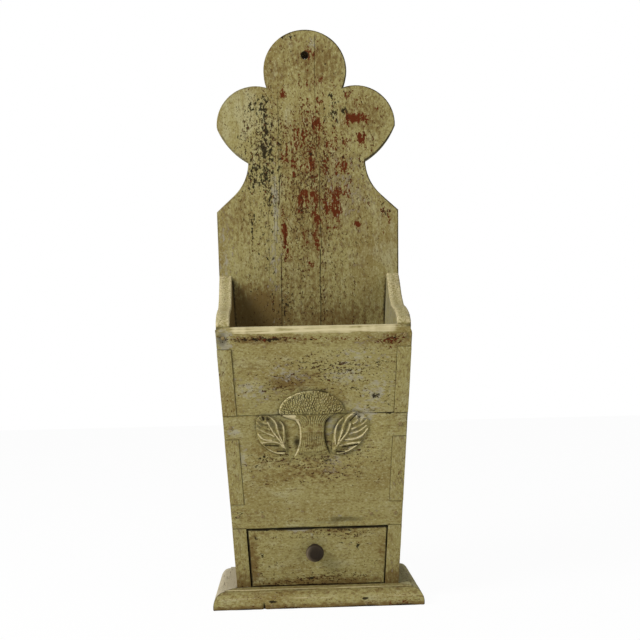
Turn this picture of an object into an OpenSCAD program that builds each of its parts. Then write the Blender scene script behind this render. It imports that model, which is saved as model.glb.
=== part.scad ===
// Salt box: an open wall box with a lobed back board, splayed sides, a leaning carved front and a drawer.
// The origin is the centre of the base's underside. +Z is up, the front faces -Y and the wall is at +Y.
// Heights are measured from the top of the base unless a comment says otherwise.

/* [Box] */
// Outside width across the sides where they stand on the base
box_w = 160; // [120:1:220]
// Depth from the back board to the outer face of the front, on the base
box_d = 88; // [70:1:130]
// Height of the front's rim
rim_h = 256; // [215:1:300]
// Outward splay of each side, degrees from upright
splay = 3.3; // [0.5:0.1:8]
// Outward lean of the front, degrees from upright
lean = 10.6; // [2:0.1:16]
// Thickness of the sides and the front boards
board_t = 13.5; // [9:0.5:18]
// Radius of the rounded front of the rim
rim_round = 6.5; // [1:0.5:7]

/* [Side boards] */
// Rise of a side above the rim, where it meets the back board
side_rise = 61.5; // [35:0.5:85]
// Slope of a side's top edge at the back board, degrees
side_slope = 29; // [10:1:45]
// Distance of the step in a side's top edge behind the front's inner face
step_back = 52; // [25:1:65]
// Height of that step above the rim
step_up = 21; // [8:0.5:30]
// Slope of the top edge at the step, degrees
step_slope = 9; // [0:1:20]
// Steepness of the rounded nose where the top edge meets the rim, degrees
nose_slope = 75; // [45:1:85]

/* [Corner joints] */
// Height of the joint between the two front boards
middle_joint_h = 170.5; // [150:0.5:190]
// Height of the finger at the rim
rim_finger = 22; // [12:0.5:34]
// Height of the finger under the middle joint
middle_finger = 23.5; // [12:0.5:34]
// Height of the finger over the drawer
low_finger = 24.5; // [14:0.5:34]

/* [Back board] */
// Height of the back board
back_h = 590; // [520:1:680]
// Thickness of the back board
back_t = 13.5; // [9:0.5:20]
// Width across the shoulder corners
shoulder_w = 199.6; // [180:0.2:220]
// Radius of the hollow above each shoulder
shoulder_r = 52; // [40:1:75]
// Slope of the straight edge between that hollow and the shoulder, degrees
shoulder_slope = 43; // [30:1:55]
// Width of the neck under the lobes
neck_w = 129; // [100:1:150]
// Drop from the crest to the neck's corners
neck_drop = 147; // [130:1:165]
// Slope of a side lobe's underside where it meets the neck, degrees
lobe_slope = 30; // [20:1:45]
// Radius of a side lobe's flatter underside
lobe_under_r = 81; // [65:1:140]
// Radius of the top lobe
top_lobe_r = 46; // [36:0.5:56]
// Radius of each side lobe
side_lobe_r = 43; // [36:0.5:50]
// Distance of a side lobe's centre from the middle
side_lobe_x = 55.5; // [45:0.5:65]
// Drop from the crest to the side lobes' centres
side_lobe_drop = 106; // [95:1:115]
// Diameter of the hang hole
hole_d = 8; // [4:0.5:14]
// Drop from the crest to the hang hole, on the front
hole_drop = 29; // [18:0.5:50]
// Slope of the hang hole, down towards the wall, degrees
hole_slope = 17; // [0:1:20]

/* [Base] */
// Height of the base
base_h = 17; // [12:0.5:28]
// Width of the plinth moulding
moulding_w = 22.5; // [16:0.5:34]
// Radius of the moulding's quarter round
ovolo_r = 9.5; // [4:0.5:10.5]
// Depth of the small step above the quarter round
quirk = 1.2; // [0.4:0.1:2]

/* [Compartment floor] */
// Height of the floor's underside above the drawer opening
floor_rise = 6; // [0:0.5:14]
// Thickness of the floor
floor_t = 12; // [8:0.5:16]

/* [Drawer] */
// Height of the drawer opening
drawer_h = 58.8; // [45:0.2:75]
// Gap round the drawer's sides and top
drawer_gap = 1.2; // [0.6:0.1:2.5]
// Running gap under the drawer
drawer_lift = 0.4; // [0.3:0.1:1]
// Gap behind the closed drawer
drawer_rear_gap = 2; // [1:0.5:12]
// Thickness of the drawer front
drawer_front_t = 13; // [9:0.5:18]
// Thickness left in front of the drawer front's laps
drawer_lap_t = 5; // [3:0.5:7]
// Thickness of the drawer's sides and back
drawer_side_t = 7.5; // [5:0.5:10]
// Height of the drawer's sides over its bottom
drawer_side_h = 44; // [30:0.5:48]
// Thickness of the drawer bottom
drawer_bottom_t = 6; // [4:0.5:8]

/* [Knob] */
// Diameter of the knob's head
knob_d = 17.6; // [12:0.2:28]
// Reach of the knob in front of the drawer
knob_reach = 13.5; // [10:0.5:20]
// Diameter of the knob's neck
knob_neck_d = 11; // [9.5:0.5:12]
// Diameter of the knob's tenon
tenon_d = 8; // [5:0.5:9]
// Height of the knob's centre, measured up the drawer front
knob_h = 36.5; // [20:0.5:40]
// Sideways place of the knob
knob_x = -3; // [-20:0.5:20]

/* [Nails] */
// Diameter of a nail's shank
nail_d = 2.2; // [1.4:0.1:3]
// Diameter of a nail's head
nail_head_d = 4.4; // [3.2:0.1:6]
// Thickness of a nail's head
nail_head_t = 0.9; // [0.5:0.1:1.5]
// How far a nail bites into the second piece of wood
nail_bite = 13; // [8:0.5:18]

/* [Carving] */
// Width of the scooped dish round the carving
dish_w = 140; // [110:1:150]
// Height of the dish
dish_h = 112; // [90:1:125]
// Depth of the dish at its middle
dish_depth = 3; // [1:0.1:4]
// Drop of the dish's centre below the middle joint
dish_drop = 11.5; // [0:0.5:20]
// Sideways place of the carved sheaf
sheaf_x = -3.8; // [-10:0.2:10]
// Width of the sheaf's head of ears
head_w = 60; // [44:1:70]
// Height of the head of ears
head_h = 22.5; // [16:0.5:30]
// How far the carving rises over the dish
relief = 4.2; // [1.5:0.1:5]
// Width of the stalks at the band
waist_w = 24.6; // [16:0.2:32]
// Drop of the band below the head of ears
waist_drop = 15.5; // [10:0.5:22]
// Length of the stalks below the head of ears
stalk_l = 48; // [38:0.5:54]
// Radius of the hollow on each side of the stalks
stalk_hollow_r = 53; // [40:1:80]
// Thickness of the band round the stalks
band_d = 3; // [2:0.2:5]
// Number of grooves between the stalks
stalk_grooves = 8; // [4:2:10]
// Length of each leaf spray
leaf_l = 47; // [36:0.5:52]
// Width of each leaf spray
leaf_w = 26; // [14:0.5:28]
// Distance of a leaf's middle from the sheaf's middle
leaf_x = 38; // [32:0.5:40]
// Drop of a leaf's middle below the middle joint
leaf_drop = 22; // [19:0.5:30]
// Outward tilt of each leaf, degrees
leaf_tilt = 37; // [20:1:50]
// Number of grooves on each half of a leaf
leaf_grooves = 4; // [2:1:6]
// Depth of the carved grooves
groove = 0.9; // [0.4:0.1:1.4]

/* [Hidden] */
$fn = 96;

// Colours of the old finishes
paint = "#8f8a5e";
worn_paint = "#a39a72";
grey_paint = "#8a8468";
bare_wood = "#7a5f40";
knob_wood = "#4e3d31";
iron = "#3a3431";

// Places along Y: the wall, the front face of the back board and the foot of the front's outer face
base_d = back_t + box_d + moulding_w;
wall_y = base_d / 2;
back_y = wall_y - back_t;
foot_y = back_y - box_d;

// Larger than the box in every direction, for cutting spaces
reach = 2 * (back_h + box_w + box_d);
// How far a cutting tool runs past the face that it cuts
past = 1;

// Heights of the fingers, the floor and the sides
low_finger_top = drawer_h + low_finger;
middle_finger_h = middle_joint_h - middle_finger;
rim_finger_h = rim_h - rim_finger;
floor_h = drawer_h + floor_rise;
floor_top = floor_h + floor_t;
side_h = rim_h + side_rise;

// Insets of the drawer, square to the splayed sides
drawer_inset = board_t + drawer_gap;
drawer_inner = drawer_inset + drawer_side_t;
drawer_floor_h = drawer_lift + drawer_bottom_t;
drawer_side_top = drawer_floor_h + drawer_side_h;
drawer_rear_y = back_y - drawer_rear_gap;

// Radial room between a nail or tenon and its hole
bore_clear = 0.05;
// How far a hidden nail's head is sunk
nail_sink = 0.5;
// Pieces that a curve is cut into
curve_steps = 8;
// Steps round the full circle of a very large, nearly flat arc
flat_arc_fn = 1440;
// Flats that a carved ridge's crown is cut in
ridge_steps = 6;

// Half the box's width at a height, less an inset measured square to the side
function half_width(h, inset) = box_w / 2 + h * tan(splay) - inset / cos(splay);

// Y of the leaning front at a height, at a depth measured square to its face
function front_y(h, depth) = foot_y - h * tan(lean) + depth / cos(lean);

// Points of a cubic curve
function curve(a, b, c, d) = [
    for (i = [1:curve_steps])
        let (t = i / curve_steps, u = 1 - t)
            u * u * u * a + 3 * u * u * t * b + 3 * u * t * t * c + t * t * t * d
];

// Extrudes an outline drawn in X and Z along Y
module along_y(from, to) {
    translate([0, to, 0])
        rotate([90, 0, 0])
            linear_extrude(to - from)
                children();
}

// Extrudes an outline drawn in Y and Z along X
module along_x(from, to) {
    translate([from, 0, 0])
        rotate([90, 0, 90])
            linear_extrude(to - from)
                children();
}

// Raises what stands on the base
module on_base() {
    translate([0, 0, base_h])
        children();
}

// Copies a shape to the left and the right
module both_sides() {
    for (side = [0, 1])
        mirror([side, 0, 0])
            children();
}

// The frame of the front's outer face: X across, Y into the wood and Z up the slope
module front_frame() {
    translate([0, foot_y, 0])
        rotate([lean, 0, 0])
            children();
}

// The layer of the leaning front between two depths
module front_layer(from, to) {
    front_frame()
        translate([-reach / 2, from, -reach / 2])
            cube([reach, to - from, reach]);
}

// The space between two planes parallel to the sides, from one height to another
module splayed_space(inset, from, to) {
    low = half_width(from, inset);
    high = half_width(to, inset);
    along_y(-reach / 2, reach / 2)
        polygon([[-low, from], [low, from], [high, to], [-high, to]]);
}

// A wall parallel to the right side, from one height to another
module splayed_wall(inset, thick, from, to) {
    along_y(-reach / 2, reach / 2)
        polygon([
            [half_width(from, inset + thick), from],
            [half_width(from, inset), from],
            [half_width(to, inset), to],
            [half_width(to, inset + thick), to]
        ]);
}

// One piece of the leaning front, across the box less an inset, or a cutter for it that stands proud
module front_piece(inset, from, to, proud = 0) {
    intersection() {
        front_layer(-proud, board_t);
        splayed_space(inset, from, to);
    }
}

// Places that the front's nails go through: the middles of the fingers, and the floor's front edge
function finger_heights() = [
    rim_h - rim_finger / 2,
    middle_joint_h - middle_finger / 2,
    drawer_h + low_finger / 2
];
floor_nail_h = floor_h + floor_t / 2;
floor_nail_x = box_w / 3;

// A nail along +Z with its head at the origin
module nail(length, slack = 0) {
    cylinder(h = length + slack, d = nail_d + 2 * slack);
    translate([0, 0, -past * sign(slack)])
        cylinder(h = nail_head_t + slack + past * sign(slack), d = nail_head_d + 2 * slack);
}

module front_nail_set(slack = 0) {
    both_sides()
        front_frame() {
            for (h = finger_heights())
                translate([half_width(h, board_t / 2), 0, h / cos(lean)])
                    rotate([-90, 0, 0])
                        nail(board_t + nail_bite, slack);
            translate([floor_nail_x, 0, floor_nail_h / cos(lean)])
                rotate([-90, 0, 0])
                    nail(board_t + nail_bite, slack);
        }
}

module back_nail_set(slack = 0) {
    both_sides() {
        for (h = [drawer_h / 2, middle_joint_h, rim_h])
            translate([half_width(h, board_t / 2), wall_y, h])
                rotate([90, 0, 0])
                    nail(back_t + nail_bite, slack);
        translate([floor_nail_x, wall_y, floor_nail_h])
            rotate([90, 0, 0])
                nail(back_t + nail_bite, slack);
    }
}

base_nail_h = (base_h - ovolo_r) / 2 - base_h;

module base_nail_set(slack = 0) {
    both_sides() {
        translate([box_w / 4 + moulding_w / 4, foot_y - moulding_w, base_nail_h])
            rotate([-90, 0, 0])
                nail(moulding_w + nail_bite, slack);
        for (y = [foot_y + box_d / 4, back_y - box_d / 4])
            translate([box_w / 2 + moulding_w, y, base_nail_h])
                rotate([0, -90, 0])
                    nail(moulding_w + nail_bite, slack);
    }
}

module bottom_nail_set(slack = 0) {
    both_sides()
        for (y = [foot_y + board_t, back_y - board_t])
            translate([half_width(0, board_t / 2), y, nail_sink - base_h])
                nail(base_h - nail_sink + nail_bite, slack);
}

drawer_nail_l = drawer_side_t + nail_bite;
drawer_front_nail_depth = (drawer_lap_t + drawer_front_t) / 2;

module drawer_nail_set(slack = 0) {
    both_sides()
        for (h = [drawer_floor_h + drawer_side_h / 4, drawer_side_top - drawer_side_h / 4])
            for (y = [front_y(h, drawer_front_nail_depth), drawer_rear_y - drawer_side_t / 2])
                translate([half_width(h, drawer_inset) - nail_sink, y, h])
                    rotate([0, -90, 0])
                        nail(drawer_nail_l, slack);
}

// Crest, neck and shoulders of the back board
module back_outline() {
    top = half_width(side_h, 0);
    neck_h = back_h - neck_drop;
    lobe_h = back_h - side_lobe_drop;
    hollow_x = neck_w / 2 + shoulder_r;
    shoulder_x = shoulder_w / 2;
    // Where the hollow's arc runs out into the straight edge
    flank = [hollow_x - shoulder_r * sin(shoulder_slope), neck_h - shoulder_r * cos(shoulder_slope)];
    shoulder_h = flank.y - (shoulder_x - flank.x) * tan(shoulder_slope);
    right_edge = [
        [half_width(0, 0), 0], [top, side_h], [shoulder_x, shoulder_h], flank, [neck_w / 2, neck_h]
    ];
    left_edge = [for (i = [len(right_edge) - 1:-1:0]) [-right_edge[i].x, right_edge[i].y]];
    difference() {
        polygon(concat(right_edge, left_edge));
        both_sides()
            translate([hollow_x, neck_h])
                circle(shoulder_r);
    }
    translate([0, back_h - top_lobe_r])
        circle(top_lobe_r);
    both_sides()
        intersection() {
            translate([side_lobe_x, lobe_h])
                circle(side_lobe_r);
            translate([neck_w / 2, neck_h])
                rotate(lobe_slope)
                    translate([0, lobe_under_r])
                        circle(lobe_under_r);
        }
    polygon([
        [-neck_w / 2, neck_h], [neck_w / 2, neck_h],
        [side_lobe_x, lobe_h], [0, back_h - top_lobe_r], [-side_lobe_x, lobe_h]
    ]);
}

module back_board() {
    color(paint)
        on_base()
            difference() {
                along_y(back_y, wall_y)
                    back_outline();
                translate([0, back_y, back_h - hole_drop])
                    rotate([-90 - hole_slope, 0, 0])
                        translate([0, 0, -hole_d])
                            cylinder(h = back_t / cos(hole_slope) + 2 * hole_d, d = hole_d);
                back_nail_set(bore_clear);
            }
}

// Outline of a side in Y and Z, with the ogee of its top edge
module side_outline() {
    inner_y = front_y(rim_h, board_t);
    handle = step_back / 2;
    rear = [back_y, side_h];
    step = [inner_y + step_back, rim_h + step_up];
    nose = [inner_y, rim_h];
    step_run = [handle * cos(step_slope), handle * sin(step_slope)];
    rear_run = [handle * cos(side_slope), handle * sin(side_slope)];
    nose_run = [step_up / 2 * cos(nose_slope), step_up / 2 * sin(nose_slope)];
    polygon(concat(
        [[foot_y, 0], [back_y, 0], rear],
        curve(rear, rear - rear_run, step + step_run, step),
        curve(step, step - step_run, nose + nose_run, nose),
        [[front_y(rim_h, 0), rim_h]]
    ));
}

// The three bands where the front's fingers lap over a side
module finger_bands() {
    front_piece(-past, rim_finger_h, rim_h + past, past);
    front_piece(-past, middle_finger_h, middle_joint_h, past);
    front_piece(-past, drawer_h, low_finger_top, past);
}

module right_side_shape() {
    difference() {
        intersection() {
            splayed_wall(0, board_t, 0, side_h);
            along_x(0, reach)
                side_outline();
        }
        finger_bands();
        front_nail_set(bore_clear);
        back_nail_set(bore_clear);
        bottom_nail_set(bore_clear);
    }
}

module right_side() {
    color(worn_paint)
        on_base()
            right_side_shape();
}

module left_side() {
    color(worn_paint)
        on_base()
            mirror([1, 0, 0])
                right_side_shape();
}

// Height of the carving's datum, the middle joint, measured up the front
carving_h = middle_joint_h / cos(lean);
// Depth of the carving's highest points, negative where they stand proud of the front
crown = dish_depth - relief;
// How far the carving's edges fall below its crown
crown_fall = relief / 4;
// How far the grooves start below the crown
groove_sink = relief / 8;
// Spread of the stalks' grooves and angle of the veins to the midrib, degrees
stalk_fan = 30;
vein_angle = 38;

// A wide shallow scoop: the outer side of a ring whose two radii give the dish's width and height
module dish() {
    across_r = (dish_w * dish_w / 4 + dish_depth * dish_depth) / (2 * dish_depth);
    upright_r = (dish_h * dish_h / 4 + dish_depth * dish_depth) / (2 * dish_depth);
    skin = dish_depth + past;
    turn = asin(dish_w / 2 / across_r) + 1;
    front_frame()
        translate([0, dish_depth - across_r, carving_h - dish_drop])
            rotate([0, 0, 90 - turn])
                rotate_extrude(angle = 2 * turn, $fn = flat_arc_fn)
                    intersection() {
                        translate([across_r - upright_r, 0])
                            circle(upright_r, $fn = flat_arc_fn);
                        translate([across_r - skin, -dish_h])
                            square([skin, 2 * dish_h]);
                    }
}

// A low domed disc with its crown at the origin, which falls by crown_fall at half its width
module crown_cap(width) {
    ball_r = (width * width / 4 + crown_fall * crown_fall) / (2 * crown_fall);
    deep = relief + 2 * past;
    rotate_extrude()
        intersection() {
            translate([0, -ball_r])
                circle(ball_r, $fn = flat_arc_fn);
            translate([0, -deep])
                square([width, deep]);
        }
}

// A long ridge up the slope with its crown at the origin, which falls by crown_fall at half its width
module crown_ridge(width, length) {
    deep = relief + 2 * past;
    top = [
        for (i = [0:ridge_steps])
            let (share = 2 * i / ridge_steps - 1)
                [share * width / 2, crown_fall * share * share]
    ];
    linear_extrude(length, center = true)
        polygon(concat(top, [[width / 2, deep], [-width / 2, deep]]));
}

// Raises the first child, an outline drawn in X and up the slope from the middle joint, out of the dish,
// and trims it by the second child, a crown
module carved() {
    front_frame()
        translate([sheaf_x, 0, carving_h])
            intersection() {
                along_y(crown - past, dish_depth + past)
                    children(0);
                translate([0, crown, 0])
                    children(1);
            }
}

// A long V cut that runs up the slope from its lower end
module v_cut(length) {
    linear_extrude(length)
        polygon([[-groove, -past], [groove, -past], [0, groove]]);
}

module head_outline() {
    head_r = (head_w * head_w / 4 + head_h * head_h) / (2 * head_h);
    intersection() {
        translate([0, head_h - head_r])
            circle(head_r);
        translate([-head_w, 0])
            square([2 * head_w, head_h]);
    }
}

module stalk_outline() {
    foot_w = waist_w + 2 * stalk_hollow_r;
    difference() {
        translate([-foot_w / 2, -stalk_l])
            square([foot_w, stalk_l]);
        both_sides()
            translate([waist_w / 2 + stalk_hollow_r, -waist_drop])
                circle(stalk_hollow_r);
        both_sides()
            translate([waist_w / 2 + stalk_hollow_r, -stalk_l - past])
                translate([-stalk_hollow_r / 2, 0])
                    square([stalk_hollow_r, stalk_l + 2 * past]);
    }
}

module leaf_outline() {
    leaf_r = (leaf_l * leaf_l + leaf_w * leaf_w) / (4 * leaf_w);
    translate([leaf_x, -leaf_drop])
        rotate(-leaf_tilt)
            intersection_for (side = [-1, 1])
                translate([side * (leaf_r - leaf_w / 2), 0])
                    circle(leaf_r);
}

// Fan of grooves that parts the stalks above and below the band
module stalk_cuts() {
    pitch = waist_w / (stalk_grooves + 1);
    fan = stalk_fan / stalk_grooves;
    front_frame()
        translate([sheaf_x, crown + groove_sink, carving_h - waist_drop])
            for (i = [0:stalk_grooves - 1]) {
                place = i - (stalk_grooves - 1) / 2;
                translate([pitch * place, 0, -band_d / 2])
                    rotate([0, 180 - fan * place, 0])
                        v_cut(stalk_l);
                translate([pitch * place, 0, band_d / 2])
                    rotate([0, fan * place / 2, 0])
                        v_cut(waist_drop);
            }
}

// Midrib and side veins of the right leaf, which start clear of the midrib
module leaf_cuts() {
    pitch = leaf_l / (leaf_grooves + 2);
    vein_start = 2.2 * groove;
    front_frame()
        translate([sheaf_x + leaf_x, crown + groove_sink, carving_h - leaf_drop])
            rotate([0, leaf_tilt, 0]) {
                translate([0, 0, -leaf_l / 2 - past])
                    v_cut(leaf_l + 2 * past);
                for (i = [1:leaf_grooves])
                    for (side = [-1, 1])
                        translate([side * vein_start, 0, pitch * i - leaf_l / 2])
                            rotate([0, side * vein_angle, 0])
                                v_cut(leaf_w);
            }
}

module leaf() {
    difference() {
        carved() {
            leaf_outline();
            translate([leaf_x, 0, -leaf_drop])
                rotate([0, leaf_tilt, 0])
                    crown_ridge(leaf_w, 2 * leaf_l);
        }
        leaf_cuts();
    }
}

module sheaf_head() {
    carved() {
        head_outline();
        translate([0, 0, head_h / 3])
            rotate([90, 0, 0])
                crown_cap(head_w);
    }
}

module stalks() {
    difference() {
        carved() {
            stalk_outline();
            crown_ridge(2 * waist_w, 3 * stalk_l);
        }
        stalk_cuts();
    }
    front_frame()
        translate([sheaf_x - waist_w / 2, crown + band_d / 4, carving_h - waist_drop])
            rotate([0, 90, 0])
                cylinder(h = waist_w, d = band_d);
}

// Cuts the front of the rim round
module rim_round_cut() {
    middle = [front_y(rim_h - rim_round, rim_round), rim_h - rim_round];
    along_x(-reach / 2, reach / 2)
        difference() {
            polygon([
                middle,
                middle + [0, rim_round + past],
                [front_y(rim_h, 0) - rim_round, rim_h + past],
                middle - (rim_round + past) * [cos(lean), sin(lean)]
            ]);
            translate(middle)
                circle(rim_round);
        }
}

module upper_front_board() {
    color(paint)
        on_base()
            difference() {
                union() {
                    difference() {
                        union() {
                            front_piece(board_t, middle_joint_h, rim_h);
                            front_piece(0, rim_finger_h, rim_h);
                        }
                        dish();
                        rim_round_cut();
                    }
                    intersection() {
                        sheaf_head();
                        splayed_space(0, middle_joint_h, rim_h);
                    }
                }
                front_nail_set(bore_clear);
            }
}

module lower_front_board() {
    color(paint)
        on_base()
            difference() {
                union() {
                    difference() {
                        union() {
                            front_piece(board_t, drawer_h, middle_joint_h);
                            front_piece(0, middle_finger_h, middle_joint_h);
                            front_piece(0, drawer_h, low_finger_top);
                        }
                        dish();
                    }
                    intersection() {
                        union() {
                            stalks();
                            leaf();
                            translate([2 * sheaf_x, 0, 0])
                                mirror([1, 0, 0])
                                    leaf();
                        }
                        splayed_space(0, drawer_h, middle_joint_h);
                    }
                }
                front_nail_set(bore_clear);
            }
}

module compartment_floor() {
    color(bare_wood)
        on_base()
            difference() {
                intersection() {
                    splayed_space(board_t, floor_h, floor_top);
                    front_layer(board_t, reach);
                    translate([-reach / 2, back_y - reach, 0])
                        cube(reach);
                }
                front_nail_set(bore_clear);
                back_nail_set(bore_clear);
            }
}

module bottom_board() {
    color(bare_wood)
        difference() {
            translate([-box_w / 2, foot_y, 0])
                cube([box_w, wall_y - foot_y, base_h]);
            on_base() {
                base_nail_set(bore_clear);
                bottom_nail_set(bore_clear);
            }
        }
}

// Section of the plinth: flat top, small step, quarter round and upright edge
module moulding_section() {
    intersection() {
        union() {
            square([moulding_w, base_h - quirk - ovolo_r]);
            square([moulding_w - ovolo_r, base_h - quirk]);
            square([moulding_w - ovolo_r - quirk, base_h]);
            translate([moulding_w - ovolo_r, base_h - quirk - ovolo_r])
                circle(ovolo_r);
        }
        square([moulding_w, base_h]);
    }
}

module base_front_moulding() {
    half = box_w / 2;
    outer = half + moulding_w;
    color(paint)
        difference() {
            intersection() {
                translate([-outer, foot_y, 0])
                    rotate([90, 0, 90])
                        mirror([1, 0, 0])
                            linear_extrude(2 * outer)
                                moulding_section();
                linear_extrude(base_h)
                    polygon([
                        [-outer, foot_y - moulding_w], [outer, foot_y - moulding_w],
                        [half, foot_y], [-half, foot_y]
                    ]);
            }
            on_base()
                base_nail_set(bore_clear);
        }
}

module right_moulding_shape() {
    half = box_w / 2;
    outer = half + moulding_w;
    difference() {
        intersection() {
            along_y(foot_y - moulding_w, wall_y)
                translate([half, 0])
                    moulding_section();
            linear_extrude(base_h)
                polygon([
                    [half, foot_y], [outer, foot_y - moulding_w], [outer, wall_y], [half, wall_y]
                ]);
        }
        on_base()
            base_nail_set(bore_clear);
    }
}

module base_right_moulding() {
    color(grey_paint)
        right_moulding_shape();
}

module base_left_moulding() {
    color(grey_paint)
        mirror([1, 0, 0])
            right_moulding_shape();
}

module front_nails() {
    color(iron)
        on_base()
            front_nail_set();
}

module back_nails() {
    color(iron)
        on_base()
            back_nail_set();
}

module base_nails() {
    color(iron)
        on_base()
            base_nail_set();
}

module bottom_nails() {
    color(iron)
        on_base()
            bottom_nail_set();
}

// Lays a knob's axis along the normal of the drawer front
module knob_frame() {
    front_frame()
        translate([knob_x, 0, knob_h])
            rotate([90, 0, 0])
                children();
}

module drawer_front() {
    top = drawer_h - drawer_gap;
    color(paint)
        on_base()
            difference() {
                union() {
                    intersection() {
                        front_layer(0, drawer_lap_t);
                        splayed_space(drawer_inset, drawer_lift, top);
                    }
                    intersection() {
                        front_layer(0, drawer_front_t);
                        splayed_space(drawer_inner, drawer_floor_h, top);
                    }
                }
                knob_frame()
                    translate([0, 0, -drawer_front_t - past])
                        cylinder(h = drawer_front_t + 2 * past, d = tenon_d + 2 * bore_clear);
                drawer_nail_set(bore_clear);
            }
}

module drawer_right_shape() {
    difference() {
        intersection() {
            splayed_wall(drawer_inset, drawer_side_t, drawer_floor_h, drawer_side_top);
            front_layer(drawer_lap_t, reach);
            translate([0, drawer_rear_y - reach, 0])
                cube(reach);
        }
        drawer_nail_set(bore_clear);
    }
}

module drawer_right_side() {
    color(bare_wood)
        on_base()
            drawer_right_shape();
}

module drawer_left_side() {
    color(bare_wood)
        on_base()
            mirror([1, 0, 0])
                drawer_right_shape();
}

module drawer_back() {
    color(bare_wood)
        on_base()
            difference() {
                intersection() {
                    splayed_space(drawer_inner, drawer_floor_h, drawer_side_top);
                    translate([-reach / 2, drawer_rear_y - drawer_side_t, 0])
                        cube([reach, drawer_side_t, reach]);
                }
                drawer_nail_set(bore_clear);
            }
}

module drawer_bottom() {
    color(bare_wood)
        on_base()
            intersection() {
                splayed_space(drawer_inset, drawer_lift, drawer_floor_h);
                front_layer(drawer_lap_t, reach);
                translate([-reach / 2, drawer_rear_y - reach, 0])
                    cube(reach);
            }
}

// Turned knob: tenon, short neck and a low dome
module drawer_knob() {
    edge_h = knob_reach * 0.55;
    dome_h = knob_reach - edge_h;
    dome_r = (knob_d * knob_d / 4 + dome_h * dome_h) / (2 * dome_h);
    color(knob_wood)
        on_base()
            knob_frame()
                rotate_extrude()
                    intersection() {
                        union() {
                            translate([0, -drawer_front_t])
                                square([tenon_d / 2, drawer_front_t + past]);
                            polygon(concat(
                                [[0, 0], [knob_neck_d / 2, 0]],
                                curve(
                                    [knob_neck_d / 2, 0],
                                    [knob_neck_d / 2, edge_h / 2],
                                    [knob_d / 2, edge_h / 3],
                                    [knob_d / 2, edge_h]
                                ),
                                [[0, edge_h]]
                            ));
                            intersection() {
                                translate([0, knob_reach - dome_r])
                                    circle(dome_r);
                                translate([0, edge_h])
                                    square([knob_d, dome_h]);
                            }
                        }
                        translate([0, -reach / 2])
                            square(reach);
                    }
}

module drawer_nails() {
    color(iron)
        on_base()
            drawer_nail_set();
}

back_board();
left_side();
right_side();
upper_front_board();
lower_front_board();
compartment_floor();
bottom_board();
base_front_moulding();
base_left_moulding();
base_right_moulding();
front_nails();
back_nails();
base_nails();
bottom_nails();
drawer_front();
drawer_left_side();
drawer_right_side();
drawer_back();
drawer_bottom();
drawer_knob();
drawer_nails();
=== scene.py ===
"""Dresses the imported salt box: worn painted boards, a carved sheaf, a drawer, a knob, nails and a stage."""

import itertools
import math

import bmesh
import bpy
import numpy as np
from mathutils import Matrix, Vector
from mathutils.geometry import delaunay_2d_cdt


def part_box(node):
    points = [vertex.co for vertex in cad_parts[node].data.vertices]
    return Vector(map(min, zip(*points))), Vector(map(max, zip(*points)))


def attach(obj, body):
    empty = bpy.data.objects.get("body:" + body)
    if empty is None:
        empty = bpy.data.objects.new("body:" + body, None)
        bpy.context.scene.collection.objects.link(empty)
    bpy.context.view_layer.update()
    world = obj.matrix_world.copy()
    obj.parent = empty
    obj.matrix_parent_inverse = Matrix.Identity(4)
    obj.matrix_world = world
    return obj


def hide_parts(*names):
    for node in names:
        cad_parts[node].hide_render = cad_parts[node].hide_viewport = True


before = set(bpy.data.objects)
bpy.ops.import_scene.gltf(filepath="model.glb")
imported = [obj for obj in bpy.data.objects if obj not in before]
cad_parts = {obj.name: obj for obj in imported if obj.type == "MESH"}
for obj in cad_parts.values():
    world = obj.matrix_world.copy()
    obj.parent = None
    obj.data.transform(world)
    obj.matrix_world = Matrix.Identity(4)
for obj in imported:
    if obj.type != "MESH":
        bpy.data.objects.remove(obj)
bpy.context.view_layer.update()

bl_info = {
    "name": "Painted salt box",
    "version": (1, 0, 0),
    "blender": (4, 5, 0),
    "location": "View3D > Sidebar > Salt box",
    "description": "Builds the worn boards, carving, drawer, nails and stage of an old wall salt box",
    "category": "Object",
}

# Lengths are metres, as in the frame
MM = 0.001

# Driving sizes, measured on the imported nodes. Heights called _H are above the base's top.
BASE_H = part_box("bottom_board")[1].z
BOX_W = 2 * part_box("bottom_board")[1].x
FOOT_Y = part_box("bottom_board")[0].y
BACK_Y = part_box("back_board")[0].y
WALL_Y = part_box("back_board")[1].y
SIDE_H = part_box("right_side")[1].z - BASE_H
RIM_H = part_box("upper_front_board")[1].z - BASE_H
JOINT_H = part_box("lower_front_board")[1].z - BASE_H
DRAWER_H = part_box("lower_front_board")[0].z - BASE_H
FLOOR_TOP_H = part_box("compartment_floor")[1].z - BASE_H
FLOOR_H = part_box("compartment_floor")[0].z - BASE_H
SPLAY = math.atan2(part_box("right_side")[1].x - BOX_W / 2, SIDE_H)
LEAN = math.atan2(FOOT_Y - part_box("upper_front_board")[0].y, RIM_H)
BOARD_T = (BOX_W / 2 + FLOOR_TOP_H * math.tan(SPLAY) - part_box("compartment_floor")[1].x) * math.cos(SPLAY)


def linear(hexed):
    """The linear colour of an sRGB hex value."""
    parts = [int(hexed[i:i + 2], 16) / 255 for i in (1, 3, 5)]
    return tuple(p / 12.92 if p <= 0.04045 else ((p + 0.055) / 1.055) ** 2.4 for p in parts)


def length(label, words, size):
    """A length that the user can change."""
    return bpy.props.FloatProperty(name=label, description=words, default=size, unit="LENGTH", precision=5)


def colour(label, words, hexed):
    """A colour that the user can change."""
    return bpy.props.FloatVectorProperty(
        name=label, description=words, default=linear(hexed), subtype="COLOR", size=3, min=0, max=1
    )


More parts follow.
